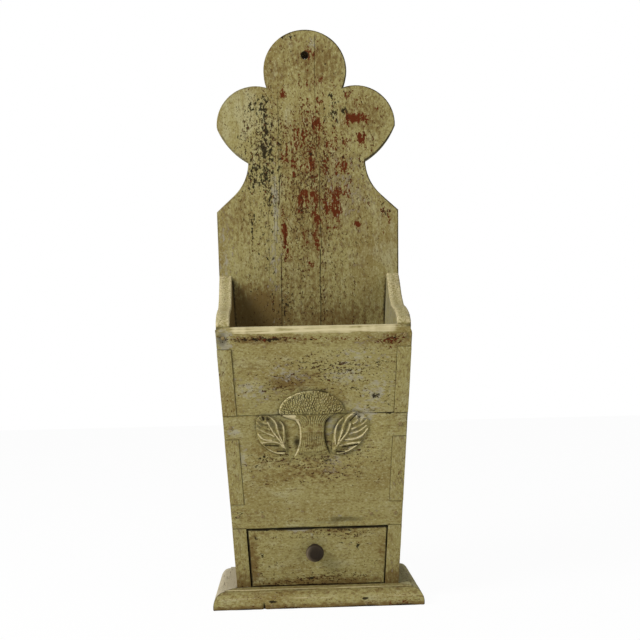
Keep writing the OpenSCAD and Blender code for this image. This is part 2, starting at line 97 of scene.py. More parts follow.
class SaltBoxSizes(bpy.types.PropertyGroup):
    """Sizes of the wear, the joints and the carving."""

    rim_round: length("Rim rounding", "Radius worn on the front of the rim", 6.5 * MM)
    arris_round: length("Arris rounding", "Radius worn on edges that hands and cloths reach", 1.1 * MM)
    joint_round: length("Joint easing", "Radius of the eased edges that meet at a joint", 0.28 * MM)
    rim_finger: length("Rim finger", "Height of the front's finger at the rim", 22 * MM)
    middle_finger: length("Middle finger", "Height of the finger under the middle joint", 23.5 * MM)
    low_finger: length("Low finger", "Height of the finger over the drawer", 24.5 * MM)
    crack_width: length("Crack width", "Half width of a drying crack at the surface", 0.42 * MM)
    crack_depth: length("Crack depth", "Depth of a drying crack", 1.6 * MM)
    dish_depth: length("Dish depth", "Depth of the scooped dish round the carving", 3 * MM)
    crown: length("Carving height", "How far the carving stands proud of the front", 1.2 * MM)
    grain_length: length("Wheat grain length", "Length of one carved grain", 3.3 * MM)
    grain_width: length("Wheat grain width", "Width of one carved grain", 1.9 * MM)
    knob_up: length("Knob height", "Height of the knob's seat above the base", 35.9 * MM)
    knob_width: length("Knob width", "Diameter of the drawer knob", 17.6 * MM)
    nail_head: length("Nail head", "Diameter of a nail's head", 4.4 * MM)
    nail_shank: length("Nail shank", "Thickness of a nail's shank", 2.2 * MM)


class SaltBoxColours(bpy.types.PropertyGroup):
    """Colours of the finishes."""

    paint: colour("Paint", "Old yellow-green oil paint", "#8c8353")
    paint_deep: colour("Deep paint", "The same paint where it is thick or dirty", "#7a6c3f")
    paint_cool: colour("Cool paint", "The same paint where it has bleached", "#a39e78")
    red_coat: colour("Red coat", "Red-brown paint under the yellow-green", "#52240d")
    black_coat: colour("Black coat", "Black paint under the yellow-green", "#221c0e")
    brown_coat: colour("Brown coat", "Dark brown paint that shows in specks", "#352110")
    # Also painted as shade on the back board's lower left and on the left side's inner face
    stain: colour("Stain", "Brown stain from hands, salt and damp", "#5f4a26")
    abraded: colour("Abraded paint", "Grey ground where the paint is rubbed thin", "#9a9684")
    bleached: colour("Bleached", "Wood bleached grey by the weather", "#b4a98f")
    # Also painted as highlights on edges and carving that face the lamp, and along the plinth's fillet and
    # ovolo
    rubbed: colour("Rubbed edge", "Pale dry wood on worn edges", "#c0b48c")
    # Also painted as shade beside the carving and in its grooves, in inside corners, in the hang hole, in the
    # plinth's quirk and along edges away from the lamp
    grime: colour("Grime", "Dirt in cracks, joints and grooves", "#241d10")
    bare_pine: colour("Bare pine", "Unpainted pine, brown with age", "#7d6444")
    bare_dark: colour("Dark pine", "Latewood lines of the old pine", "#57412a")
    # Also painted as a highlight on the lower left of the knob's rim
    knob_wear_and_highlight: colour("Knob rim", "Handled wood where the knob is worn", "#7f705a")
    knob: colour("Knob", "Turned wood, dark from handling", "#241b14")
    iron: colour("Iron", "Forged iron", "#34302d")
    rust: colour("Rust", "Rust on the nails", "#5b3a24")
    floor: colour("Floor", "Pale floor", "#f3f3f1")


def sizes():
    """The sizes that the user can change."""
    return bpy.context.scene.salt_box_sizes


def colours():
    """The colours that the user can change."""
    return bpy.context.scene.salt_box_colours


def half_width(up, inset):
    """Half the box's width at a height, less an inset measured square to the splayed side."""
    return BOX_W / 2 + up * math.tan(SPLAY) - inset / math.cos(SPLAY)


def front_y(up, depth):
    """Y of the leaning front at a height, at a depth measured square to its face."""
    return FOOT_Y - up * math.tan(LEAN) + depth / math.cos(LEAN)


# Noise and soft shapes on arrays of points


def noise(points, pitch, seed):
    """Smooth noise from -1 to 1 with lumps about a pitch apart, the same on every run."""
    cells = np.asarray(points, float) / pitch
    corner = np.floor(cells).astype(np.int64)
    part = cells - corner
    part = part * part * (3 - 2 * part)
    total = np.zeros(len(cells))
    # The large factors only scramble each corner's key, so that neighbours get unlike values
    for steps in itertools.product((0, 1), repeat=cells.shape[1]):
        key = np.full(len(cells), seed * 1013 + 17, np.int64)
        weight = np.ones(len(cells))
        for axis, step in enumerate(steps):
            key = (key * 31 + (corner[:, axis] + step) * 7919) & 0xFFFFFF
            key = (key ^ (key >> 7)) * 2654435 & 0xFFFFFF
            weight *= part[:, axis] if step else 1 - part[:, axis]
        key = (key ^ (key >> 11)) * 668265263 & 0xFFFFFF
        total += weight * (key / 0xFFFFFF)
    return 2 * total - 1


def soft_step(value, low, high):
    """0 below low, 1 above high, and smooth between."""
    share = np.clip((value - low) / (high - low), 0, 1)
    return share * share * (3 - 2 * share)


def shoulder(distance, width):
    """0 at an edge and 1 a width inside it, rounded over as a carver leaves it."""
    share = np.clip(distance / width, 0, 1)
    return np.sqrt(1 - (1 - share) ** 2)


def spots(across, up, places):
    """Soft oval spots, each given in millimetres as (across, up, half width, half height, strength)."""
    total = np.zeros(len(across))
    for x, y, half_x, half_y, strength in places:
        reach = ((across / MM - x) / half_x) ** 2 + ((up / MM - y) / half_y) ** 2
        total = np.maximum(total, strength * np.exp(-0.7 * reach))
    return total


# Boards

# Decimals of a metre by which points are put in order
ORDER_DIGITS = 5


def flat_rims(node, facing):
    """The rims of a CAD node's flat face that looks along facing, as arrays of points, the longest first.

    Each starts at its lowest point, so that it is the same on every run."""
    shape = bmesh.new()
    shape.from_mesh(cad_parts[node].data)
    bmesh.ops.remove_doubles(shape, verts=shape.verts, dist=0.01 * MM)
    shape.normal_update()
    flat = {face for face in shape.faces if face.normal.dot(facing) > 0.999}
    after = {}
    for face in flat:
        for corner in face.loops:
            if sum(other in flat for other in corner.edge.link_faces) == 1:
                after[corner.vert] = corner.link_loop_next.vert
    rims = []
    while after:
        start, vert = after.popitem()
        rim = [start.co.copy()]
        while vert is not start:
            rim.append(vert.co.copy())
            vert = after.pop(vert)
        rim = np.array(rim)
        lowest = np.lexsort(rim.round(ORDER_DIGITS).T)[0]
        rims.append(np.roll(rim, -lowest, 0))
    shape.free()
    return sorted(rims, key=lambda rim: -np.linalg.norm(rim - np.roll(rim, 1, 0), axis=1).sum())


def area(outline):
    """Signed area of an outline, above 0 when it runs anticlockwise."""
    after = np.roll(outline, -1, 0)
    return 0.5 * np.sum(outline[:, 0] * after[:, 1] - after[:, 0] * outline[:, 1])


def densify(outline, pitch):
    """The outline with points dropped and added so that neighbours lie about a pitch apart."""
    kept = [outline[0]]
    for point in outline[1:]:
        if np.linalg.norm(point - kept[-1]) > 0.4 * pitch:
            kept.append(point)
    points = []
    for a, b in zip(kept, kept[1:] + kept[:1]):
        count = max(1, math.ceil(np.linalg.norm(b - a) / pitch))
        points += [a + (b - a) * i / count for i in range(count)]
    return np.array(points)


def inset(outline, reach):
    """The outline with each of its edges moved inwards by its own reach, without folds at the corners."""
    run = np.roll(outline, -1, 0) - outline
    size = np.linalg.norm(run, axis=1)
    run = run / size[:, None]
    inward = np.stack([-run[:, 1], run[:, 0]], 1)
    past_run, past_inward, past_reach = np.roll(run, 1, 0), np.roll(inward, 1, 0), np.roll(reach, 1)
    turn = (past_run * run).sum(1)
    mean_reach = ((past_reach + reach) / 2)[:, None]
    moved = outline + (past_inward + inward) / (1 + np.maximum(turn, 0))[:, None] * mean_reach
    for k in np.flatnonzero(turn < CORNER_TURN):
        room = 1 - turn[k] ** 2
        first = (past_reach[k] - turn[k] * reach[k]) / room
        second = (reach[k] - turn[k] * past_reach[k]) / room
        move = first * past_inward[k] + second * inward[k]
        moved[k] = outline[k] + move
        # Points beside the corner close up or spread out, so that none passes it
        for step, direction in ((1, run[k]), (-1, past_run[k])):
            slide = move @ direction
            beside = [(k + step) % len(outline)]
            while turn[beside[-1]] >= CORNER_TURN:
                beside.append((beside[-1] + step) % len(outline))
            away = np.linalg.norm(outline[beside] - outline[k], axis=1)
            left = 1 - away / min(max(2.5 * abs(slide), 1e-9), away[-1])
            moved[beside[:-1]] += np.maximum(0, left[:-1])[:, None] * slide * direction
    return moved


def smoothed(values, passes):
    """Values round a closed outline, evened out between neighbours."""
    for _ in range(passes):
        values = (np.roll(values, 1) + 2 * values + np.roll(values, -1)) / 4
    return values


def inside(points, outline):
    """Which points lie inside a closed outline."""
    found = np.zeros(len(points), bool)
    for a, b in zip(outline, np.roll(outline, -1, 0)):
        if a[1] != b[1]:
            crosses = (points[:, 1] > a[1]) != (points[:, 1] > b[1])
            at = a[0] + (points[:, 1] - a[1]) * (b[0] - a[0]) / (b[1] - a[1])
            found ^= crosses & (points[:, 0] < at)
    return found


def distance_to(points, line, closed=True):
    """Distance of each point from a line of points."""
    nearest = np.full(len(points), np.inf)
    ends = np.roll(line, -1, 0) if closed else line[1:]
    for a, b in zip(line, ends):
        run = b - a
        share = np.clip(((points - a) @ run) / max(run @ run, 1e-18), 0, 1)
        nearest = np.minimum(nearest, np.linalg.norm(points - a - share[:, None] * run, axis=1))
    return nearest


def grid(outline, pitch):
    """A staggered grid of points over an outline's box."""
    low, high = outline.min(0), outline.max(0)
    columns = np.arange(low[0], high[0] + pitch, pitch)
    rows = np.arange(low[1], high[1] + pitch, pitch)
    across, up = np.meshgrid(columns, rows)
    across = across + np.where(np.arange(len(rows)) % 2, 0.5 * pitch, 0)[:, None]
    return np.stack([across.ravel(), up.ravel()], 1)


def fill(rings, levels, cracks):
    """Triangles that fill a face with rims: points, and corners of each triangle. levels are (pitch, region)
    pairs, each of which takes its region over from those before it."""
    rim = rings[0]
    points = np.zeros((0, 2))
    for i, (pitch, region) in enumerate(levels):
        found = grid(rim, pitch)
        keep = inside(found, rim)
        if region:
            keep &= region(found[:, 0], found[:, 1])
        for _, finer in levels[i + 1:]:
            keep &= ~finer(found[:, 0], found[:, 1])
        found = found[keep]
        for ring in rings:
            found = found[distance_to(found, ring) > 0.55 * pitch]
        for hole in rings[1:]:
            found = found[~inside(found, hole[::-1])]
        points = np.concatenate([points, found])
    wide = sizes().crack_width
    for path, _ in cracks:
        points = points[distance_to(points, path, closed=False) > 2.6 * wide]
        sideways = np.array([wide, 0])
        for offset in (-1.9, -1, 0, 1, 1.9):
            points = np.concatenate([points, path + offset * sideways])
    points = np.concatenate(list(rings) + [points])
    edges = []
    start = 0
    for ring in rings:
        count = len(ring)
        edges += [(start + i, start + (i + 1) % count) for i in range(count)]
        start += count
    made, _, faces, origin, _, _ = delaunay_2d_cdt([Vector(p) for p in points], edges, [], 1, 1e-9)
    if len(made) != len(points):
        crossings = [tuple(p) for p, sources in zip(made, origin) if not sources]
        raise RuntimeError(f"a face's edges cross at {crossings}, or its points meet")
    to_first = [sources[0] for sources in origin]
    corners = np.array([[to_first[v] for v in face] for face in faces])
    middles = points[corners].mean(1)
    for hole in rings[1:]:
        corners = corners[~inside(middles, hole[::-1])]
        middles = points[corners].mean(1)
    return points, corners


# Cosine of the sharpest turn that an outline makes without a corner
CORNER_TURN = math.cos(math.radians(25))
# Steps of the quarter circle that eases an edge, as shares of its radius: inset, depth
QUARTER = [(1 - math.sin(math.radians(a)), 1 - math.cos(math.radians(a))) for a in (0, 22.5, 45, 67.5, 90)]
# Shares of a board's thickness where its edge has a ring of points
EDGE_RINGS = (0.5, 0.66)
# Least width of the clean strip beside an eased edge
EDGE_GUARD = 0.4 * MM
# Radius past which uneven wear no longer grows with an edge's rounding
WEAR_REACH = 1.6 * MM


def board(name, outlines, thick, place, easing, materials, levels, back_pitch=6 * MM, relief=None, cracks=(),
          marks=None, body="carcase", seed=1):
    """Makes a closed board with eased, worn edges that stands for the CAD node of its name.

    outlines are the rim and any holes, as the front face is seen. place turns points across, up and into the
    wood into points of the frame. easing gives the front radius, the back radius, the rubbing and the dirt
    along the rim, which on the back board also carry painted highlights and painted shade. relief gives the
    depth, dirt and rubbing of the front face, which on the carved front also carry painted shade and
    highlights, and marks the finish's other attributes. Each crack is a path and a strength."""
    wide, deep = sizes().crack_width, sizes().crack_depth
    flat, worn, dirty, front_share, quads = [], [], [], [], []
    first_rings, last_rings = [], []
    count = 0
    for outline in outlines:
        edge_worn, edge_dirty = easing(outline)[2:]
        middles = (outline + np.roll(outline, -1, 0)) / 2
        front_r, back_r = easing(middles)[:2]
        bruised = np.maximum(0, noise(middles, 5 * MM, seed + 1) - 0.5)
        uneven = 0.28 * noise(middles, 11 * MM, seed) + 0.9 * bruised
        uneven = smoothed(uneven, 3) * np.minimum(1, WEAR_REACH / front_r)
        wear = 1 + np.where(front_r > 1.5 * sizes().joint_round, uneven, 0)
        front_r, back_r = front_r * wear, back_r * wear
        front_deep = (front_r + np.roll(front_r, 1)) / 2
        back_deep = (back_r + np.roll(back_r, 1)) / 2
        # A clean ring inside each eased edge keeps its wear from spreading over the face
        rings = [(inset(outline, 1.35 * front_r + EDGE_GUARD), 0 * front_deep, 1.0, 0.0, 0.0)]
        rings += [
            (inset(outline, front_r * inward), front_deep * sunk, 1.0, 0.75 + 0.25 * sunk, 1.0)
            for inward, sunk in QUARTER
        ]
        rings += [(outline, np.full(len(outline), thick * share), 0.0, 0.7, 0.7) for share in EDGE_RINGS]
        rings += [
            (inset(outline, back_r * inward), thick - back_deep * sunk, 0.0, 1.0, 1.0)
            for inward, sunk in QUARTER[::-1]
        ]
        rings += [(inset(outline, 1.35 * back_r + EDGE_GUARD), thick + 0 * back_deep, 0.0, 0.0, 0.0)]
        size = len(outline)
        for k, (ring, depth, share, worn_share, dirt_share) in enumerate(rings):
            flat.append(np.concatenate([ring, depth[:, None]], 1))
            worn.append(worn_share * edge_worn)
            dirty.append(dirt_share * edge_dirty)
            front_share.append(np.full(size, share))
            if k:
                low, high = count + (k - 1) * size, count + k * size
                for i in range(size):
                    j = (i + 1) % size
                    quads.append((low + i, low + j, high + j, high + i))
        first_rings.append((count, rings[0][0]))
        last_rings.append((count + (len(rings) - 1) * size, rings[-1][0]))
        count += len(rings) * size
    faces = [list(q) for q in quads]
    for ends, depth, face_levels, face_cracks, share in (
        (first_rings, 0, levels, cracks, 1.0),
        (last_rings, thick, [(back_pitch, None)], (), 0.0),
    ):
        points, corners = fill([ring for _, ring in ends], face_levels, face_cracks)
        to_all = np.concatenate([start + np.arange(len(ring)) for start, ring in ends])
        fresh = len(points) - len(to_all)
        to_all = np.concatenate([to_all, count + np.arange(fresh)])
        new = points[len(points) - fresh:]
        flat.append(np.concatenate([new, np.full((fresh, 1), depth)], 1))
        worn.append(np.zeros(fresh))
        dirty.append(np.zeros(fresh))
        front_share.append(np.full(fresh, share))
        back_start = len(faces)
        faces += [list(to_all[c]) for c in corners]
        count += fresh
    flat = np.concatenate(flat)
    worn, dirty, front_share = np.concatenate(worn), np.concatenate(dirty), np.concatenate(front_share)
    across, up = flat[:, 0].copy(), flat[:, 1].copy()
    # Hand-planed faces are never quite flat
    wave = 0.16 * MM * noise(flat, 34 * MM, seed + 2) + 0.05 * MM * noise(flat, 8 * MM, seed + 3)
    flat[:, 2] += np.where(front_share > 0, wave, 0.5 * wave)
    for path, strength in cracks:
        gap = distance_to(flat[:, :2], path, closed=False)
        slit = np.clip(1 - gap / wide, 0, 1) * front_share * (flat[:, 2] < 0.3 * thick)
        flat[:, 2] += deep * strength * slit
        dirty = np.maximum(dirty, strength * soft_step(gap, 1.6 * wide, 0.3 * wide) * front_share)
    if relief:
        depth, hollow, rubbed = relief(across, up)
        flat[:, 2] += depth * front_share
        dirty = np.maximum(dirty, hollow * front_share)
        worn = np.maximum(worn, rubbed * front_share)
    values = {"worn": worn, "grime": dirty}
    if marks:
        for label, numbers in marks(across, up, flat[:, 2]).items():
            values[label] = np.maximum(values.get(label, 0), numbers)
    piece = new_piece(name, place(flat[:, 0], flat[:, 1], flat[:, 2]), faces, materials, values)
    if len(materials) > 1:
        on_back = np.zeros(len(faces), np.int32)
        on_back[back_start:] = 1
        piece.data.polygons.foreach_set("material_index", on_back)
    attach(piece, body)
    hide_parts(name)
    return piece


def new_piece(name, points, faces, materials, values=None, smooth_angle=40):
    """An object at the origin with its place in its mesh, closed, with its faces outwards."""
    mesh = bpy.data.meshes.new(name + "_looks")
    mesh.from_pydata([tuple(p) for p in points], [], faces)
    shape = bmesh.new()
    shape.from_mesh(mesh)
    bmesh.ops.recalc_face_normals(shape, faces=shape.faces)
    for face in shape.faces:
        face.smooth = True
    for edge in shape.edges:
        if len(edge.link_faces) == 2 and edge.calc_face_angle(0) > math.radians(smooth_angle):
            edge.smooth = False
    shape.to_mesh(mesh)
    shape.free()
    for label, numbers in (values or {}).items():
        held = mesh.attributes.new(label, "FLOAT", "POINT")
        held.data.foreach_set("value", np.asarray(numbers, np.float32))
    for material in materials:
        mesh.materials.append(material)
    piece = bpy.data.objects.new(name + "_looks", mesh)
    bpy.context.scene.collection.objects.link(piece)
    return piece


def stacked(*columns):
    """Columns of coordinates as an array of points."""
    return np.stack(np.broadcast_arrays(*columns), 1)


# Finishes


def add(tree, kind, sockets=None, **settings):
    """Adds a node with its settings, and sets or links its sockets, named or numbered."""
    node = tree.nodes.new(kind)
    for key, value in settings.items():
        setattr(node, key, value)
    for key, value in (sockets or {}).items():
        if isinstance(value, bpy.types.NodeSocket):
            tree.links.new(value, node.inputs[key])
        else:
            node.inputs[key].default_value = value
    return node


def new_finish(name):
    """An empty material with its shader: the material, its tree, its shader and its object coordinates."""
    material = bpy.data.materials.new(name)
    material.use_nodes = True
    tree = material.node_tree
    tree.nodes.clear()
    shader = add(tree, "ShaderNodeBsdfPrincipled")
    add(tree, "ShaderNodeOutputMaterial", {"Surface": shader.outputs[0]})
    place = add(tree, "ShaderNodeTexCoord").outputs["Object"]
    return material, tree, shader, place


def along_grain(axis, along, across):
    """Scale of a pattern whose lumps measure along by across, with the grain along an axis."""
    scale = [1 / across] * 3
    scale[axis] = 1 / along
    return scale


def opaque(tone):
    """A linear colour that lets nothing through."""
    return (*tone, 1)


# Patterns of the paint, in millimetres along and across the grain, with their detail and roughness
PAINT_PATTERNS = {
    "cloud": (80, 34, 3.0, 0.5),
    "patch": (26, 12, 3.0, 0.55),
    "streak": (60, 1.6, 3.0, 0.6),
    "mottle": (5.5, 3.4, 3.0, 0.65),
    "fine": (2.6, 1.5, 3.0, 0.7),
    "blotch": (11, 6, 5.0, 0.74),
    "chip": (5, 3, 4.0, 0.74),
    "speck": (2.6, 1.7, 2.0, 0.6),
    "track": (70, 4.5, 2.0, 0.5),
}
# Patterns of flakes, and how far these keep to tracks along the grain
FLAKES = ("blotch", "chip", "speck")
TRACK_SHARE = 0.3
# Layers over the deep paint: colour, pattern, zone that adds to the pattern, its weight, where the layer
# starts and is full, and its strength
PAINT_LAYERS = [
    ("paint", "cloud", None, 0, 0.24, 0.54, 1.0),
    ("paint_cool", "patch", "pale", 0.3, 0.52, 0.76, 0.55),
    ("paint_deep", "streak", None, 0, 0.48, 0.7, 0.65),
    ("stain", "mottle", None, 0, 0.52, 0.74, 0.5),
    ("paint_cool", "fine", None, 0, 0.52, 0.68, 0.6),
    ("stain", "fine", None, 0, 0.47, 0.33, 0.7),
    # This zoned layer also lays painted shade where the attribute asks for it
    ("stain", "mottle", "stain", 0.5, 0.6, 0.95, 0.85),
    ("abraded", "mottle", "grey", 0.36, 0.64, 0.86, 0.65),
    ("bleached", "fine", "bleached", 1.0, 0.8, 1.6, 0.85),
    ("brown_coat", "speck", "fleck", 0.18, 0.89, 0.91, 0.92),
    ("red_coat", "speck", "red", 0.25, 0.89, 0.91, 1.0),
    ("red_coat", "chip", "red", 0.21, 0.85, 0.87, 1.0),
    ("red_coat", "blotch", "red", 0.17, 0.85, 0.87, 1.0),
    ("black_coat", "chip", "black", 0.24, 0.85, 0.87, 0.95),
    # These two also lay painted highlights and painted shade where the attributes ask for them
    ("rubbed", "streak", "worn", 0.6, 0.72, 1.08, 0.95),
    ("grime", "patch", "grime", 0.9, 0.6, 1.3, 0.95),
]
# Shares of the brush marks and of the flakes in the paint's relief
BRUSH_SHARE, FLAKE_SHARE = 0.4, -0.45


def worn_paint(name, axis):
    """Oil paint brushed on pine long ago: a dull, chalky yellow-green that has flaked along the grain down to
    red-brown and black coats, worn pale on the edges, and holds dirt in every groove. Through its attributes
    it also carries painted highlights and painted shade."""
    tones = colours()
    material, tree, shader, place = new_finish(name)
    patterns, zones = {}, {}
    for label, (along, across, detail, rough) in PAINT_PATTERNS.items():
        scale = along_grain(axis, along * MM, across * MM)
        at = add(tree, "ShaderNodeMapping", {"Vector": place, "Scale": scale})
        lumps = add(
            tree, "ShaderNodeTexNoise",
            {"Vector": at.outputs[0], "Scale": 1.0, "Detail": detail, "Roughness": rough},
        )
        patterns[label] = lumps.outputs["Fac"]
    for label in FLAKES:
        tracked = add(
            tree, "ShaderNodeMath", {0: patterns["track"], 1: TRACK_SHARE, 2: patterns[label]},
            operation="MULTIPLY_ADD",
        )
        patterns[label] = tracked.outputs[0]
    tone = opaque(tones.paint_deep)
    for colour_of, pattern, zone, weight, low, high, strength in PAINT_LAYERS:
        amount = patterns[pattern]
        if zone:
            held = add(tree, "ShaderNodeAttribute", attribute_name=zone)
            amount = add(
                tree, "ShaderNodeMath", {0: held.outputs["Fac"], 1: weight, 2: amount},
                operation="MULTIPLY_ADD",
            ).outputs[0]
        mask = add(
            tree, "ShaderNodeMapRange", {"Value": amount, 1: low, 2: high, 4: strength},
            interpolation_type="SMOOTHSTEP",
        )
        zones[colour_of] = mask.outputs[0]
        mixed = add(
            tree, "ShaderNodeMix", {"Factor": mask.outputs[0], 6: tone, 7: opaque(getattr(tones, colour_of))},
            data_type="RGBA",
        )
        tone = mixed.outputs[2]
    flaked = add(
        tree, "ShaderNodeMath", {0: zones["red_coat"], 1: zones["black_coat"]}, operation="MAXIMUM"
    )
    brushed = add(
        tree, "ShaderNodeMath", {0: patterns["streak"], 1: BRUSH_SHARE, 2: patterns["fine"]},
        operation="MULTIPLY_ADD",
    )
    relief = add(
        tree, "ShaderNodeMath", {0: flaked.outputs[0], 1: FLAKE_SHARE, 2: brushed.outputs[0]},
        operation="MULTIPLY_ADD",
    )
    bump = add(tree, "ShaderNodeBump", {"Strength": 0.6, "Distance": 0.35 * MM, "Height": relief.outputs[0]})
    tree.links.new(tone, shader.inputs["Base Color"])
    tree.links.new(bump.outputs[0], shader.inputs["Normal"])
    shader.inputs["Roughness"].default_value = 0.75
    shader.inputs["Specular IOR Level"].default_value = 0.06
    return material


def bare_pine(name, axis):
    """Sawn and planed pine that was never painted: warm brown, with darker latewood lines along the grain."""
    tones = colours()
    material, tree, shader, place = new_finish(name)
    at = add(tree, "ShaderNodeMapping", {"Vector": place, "Scale": along_grain(axis, 160 * MM, 4 * MM)})
    rings = add(
        tree, "ShaderNodeTexNoise",
        {"Vector": at.outputs[0], "Scale": 1.0, "Detail": 4.0, "Distortion": 0.6},
    )
    fine = add(tree, "ShaderNodeMapping", {"Vector": place, "Scale": along_grain(axis, 14 * MM, 0.9 * MM)})
    fibre = add(tree, "ShaderNodeTexNoise", {"Vector": fine.outputs[0], "Scale": 1.0, "Detail": 3.0})
    lines = add(
        tree, "ShaderNodeMapRange", {"Value": rings.outputs["Fac"], 1: 0.42, 2: 0.64},
        interpolation_type="SMOOTHSTEP",
    )
    tone = add(
        tree, "ShaderNodeMix",
        {"Factor": lines.outputs[0], 6: opaque(tones.bare_pine), 7: opaque(tones.bare_dark)},
        data_type="RGBA",
    )
    dust = add(tree, "ShaderNodeMapRange", {"Value": fibre.outputs["Fac"], 1: 0.3, 2: 0.9, 3: 0.0, 4: 0.5})
    aged = add(
        tree, "ShaderNodeMix", {"Factor": dust.outputs[0], 6: tone.outputs[2], 7: opaque(tones.stain)},
        data_type="RGBA",
    )
    dirt = add(tree, "ShaderNodeAttribute", attribute_name="grime")
    dirty = add(
        tree, "ShaderNodeMix",
        {"Factor": dirt.outputs["Fac"], 6: aged.outputs[2], 7: opaque(tones.grime)}, data_type="RGBA",
    )
    bump = add(
        tree, "ShaderNodeBump",
        {"Strength": 0.5, "Distance": 0.25 * MM, "Height": fibre.outputs["Fac"]},
    )
    tree.links.new(dirty.outputs[2], shader.inputs["Base Color"])
    tree.links.new(bump.outputs[0], shader.inputs["Normal"])
    shader.inputs["Roughness"].default_value = 0.78
    shader.inputs["Specular IOR Level"].default_value = 0.08
    return material


def handled_wood():
    """Turned hardwood, nearly black from fingers and smoke, with a dull shine on its face and a paler rim,
    worn all round and painted paler on its lower left as a highlight."""
    tones = colours()
    material, tree, shader, place = new_finish("handled hardwood")
    at = add(tree, "ShaderNodeMapping", {"Vector": place, "Scale": along_grain(2, 6 * MM, 1.5 * MM)})
    fibre = add(tree, "ShaderNodeTexNoise", {"Vector": at.outputs[0], "Scale": 1.0, "Detail": 4.0})
    worn = add(tree, "ShaderNodeAttribute", attribute_name="worn")
    mottled = add(
        tree, "ShaderNodeMix",
        {"Factor": fibre.outputs["Fac"], 6: opaque(tones.knob), 7: opaque(tones.grime)}, data_type="RGBA",
    )
    tone = add(
        tree, "ShaderNodeMix",
        {"Factor": worn.outputs["Fac"], 6: mottled.outputs[2], 7: opaque(tones.knob_wear_and_highlight)}, data_type="RGBA",
    )
    bump = add(
        tree, "ShaderNodeBump",
        {"Strength": 0.35, "Distance": 0.2 * MM, "Height": fibre.outputs["Fac"]},
    )
    tree.links.new(tone.outputs[2], shader.inputs["Base Color"])
    tree.links.new(bump.outputs[0], shader.inputs["Normal"])
    shader.inputs["Roughness"].default_value = 0.6
    shader.inputs["Specular IOR Level"].default_value = 0.12
    return material


def rusted_iron(name, scale, rust):
    """Forged iron nails: dark scale or the paint that covers it, with rust or dirt that has crept over it,
    hardly shiny."""
    material, tree, shader, place = new_finish(name)
    # Rust patches are really about 0.5 mm across, and are drawn twice as coarse so that they show
    patches = add(tree, "ShaderNodeTexNoise", {"Vector": place, "Scale": 1 / (1.0 * MM), "Detail": 4.0})
    share = add(tree, "ShaderNodeMapRange", {"Value": patches.outputs["Fac"], 1: 0.42, 2: 0.6})
    tone = add(
        tree, "ShaderNodeMix", {"Factor": share.outputs[0], 6: opaque(scale), 7: opaque(rust)},
        data_type="RGBA",
    )
    bump = add(
        tree, "ShaderNodeBump",
        {"Strength": 0.6, "Distance": 0.2 * MM, "Height": patches.outputs["Fac"]},
    )
    tree.links.new(tone.outputs[2], shader.inputs["Base Color"])
    tree.links.new(bump.outputs[0], shader.inputs["Normal"])
    shader.inputs["Roughness"].default_value = 0.72
    return material


# Finishes that have been made, by key
FINISHES = {}


def finish(key):
    """A finish by its key, made once."""
    tones = colours()
    makers = {
        "paint_upright": lambda: worn_paint("worn oil paint, upright grain", 2),
        "paint_across": lambda: worn_paint("worn oil paint, level grain", 0),
        "paint_inwards": lambda: worn_paint("worn oil paint, grain front to back", 1),
        "pine_upright": lambda: bare_pine("bare old pine, upright grain", 2),
        "pine_across": lambda: bare_pine("bare old pine, level grain", 0),
        "pine_inwards": lambda: bare_pine("bare old pine, grain front to back", 1),
        "knob": handled_wood,
        "iron": lambda: rusted_iron("rusted forged iron", tones.iron, tones.rust),
        "painted_iron": lambda: rusted_iron("forged iron under old paint", tones.paint_deep, tones.stain),
    }
    if key not in FINISHES:
        FINISHES[key] = makers[key]()
    return FINISHES[key]


# Wear and some painted shade, as soft spots in millimetres on each board: across, above the base, half width,
# half height, strength

BACK_RED = [
    (11, 530, 11, 8, 0.85), (13, 505, 16, 16, 0.55), (54, 490, 15, 6.5, 1.2), (61, 465, 6, 11, 1.15),
    (57, 506, 5, 9, 0.95), (77, 500, 4, 4, 1.0), (47, 517, 6, 4, 0.9), (44, 463, 7, 7, 0.95),
    (28, 460, 12, 12, 0.85), (-11, 468, 6, 20, 0.92), (10, 485, 14, 10, 0.92), (3, 438, 14, 14, 0.8),
    (36, 437, 11, 10, 0.95), (-13, 434, 6, 10, 0.95), (-25, 445, 5, 6, 0.9), (2, 402, 14, 12, 1.05),
    (28, 396, 10, 24, 1.05), (42, 409, 6, 9, 1.0), (10, 380, 8, 12, 0.85), (-26, 366, 4, 24, 0.95),
    (-22, 341, 4, 12, 0.8), (8, 352, 5, 20, 0.9), (-4, 362, 4, 20, 0.6), (54, 372, 9, 3, 1.15),
    (30, 368, 8, 2.5, 1.1), (4, 330, 5, 10, 0.8), (8, 460, 52, 80, 0.56), (3, 562, 8, 7, 1.0),
    (-26, 517, 5, 6, 1.0), (-8, 577, 16, 5, 0.45), (86, 386, 7, 4, 0.85), (90, 377, 4, 5, 0.8),
]
BACK_BLACK = [
    (-52, 503, 13, 13, 0.8), (-44, 480, 6, 20, 1.0), (-44, 456, 10, 16, 1.12), (-50, 426, 18, 17, 0.95),
    (-38, 402, 10, 24, 0.66), (-61, 378, 8, 24, 0.66), (-44, 345, 16, 38, 0.48), (-30, 452, 3, 60, 0.66),
    (28, 495, 12, 16, 0.68), (-62, 440, 8, 30, 0.55), (-40, 300, 20, 20, 0.42), (85, 386, 8, 8, 0.6),
    (-26, 280, 12, 18, 0.62), (-50, 430, 34, 70, 0.32), (-16, 582, 10, 4, 0.75), (20, 450, 60, 110, 0.3),
    (48, 352, 10, 3, 0.7), (26, 516, 5, 4, 0.9), (34, 508, 5, 5, 0.9), (41, 497, 4, 6, 0.95),
    (-72, 470, 6, 6, 0.7),
]
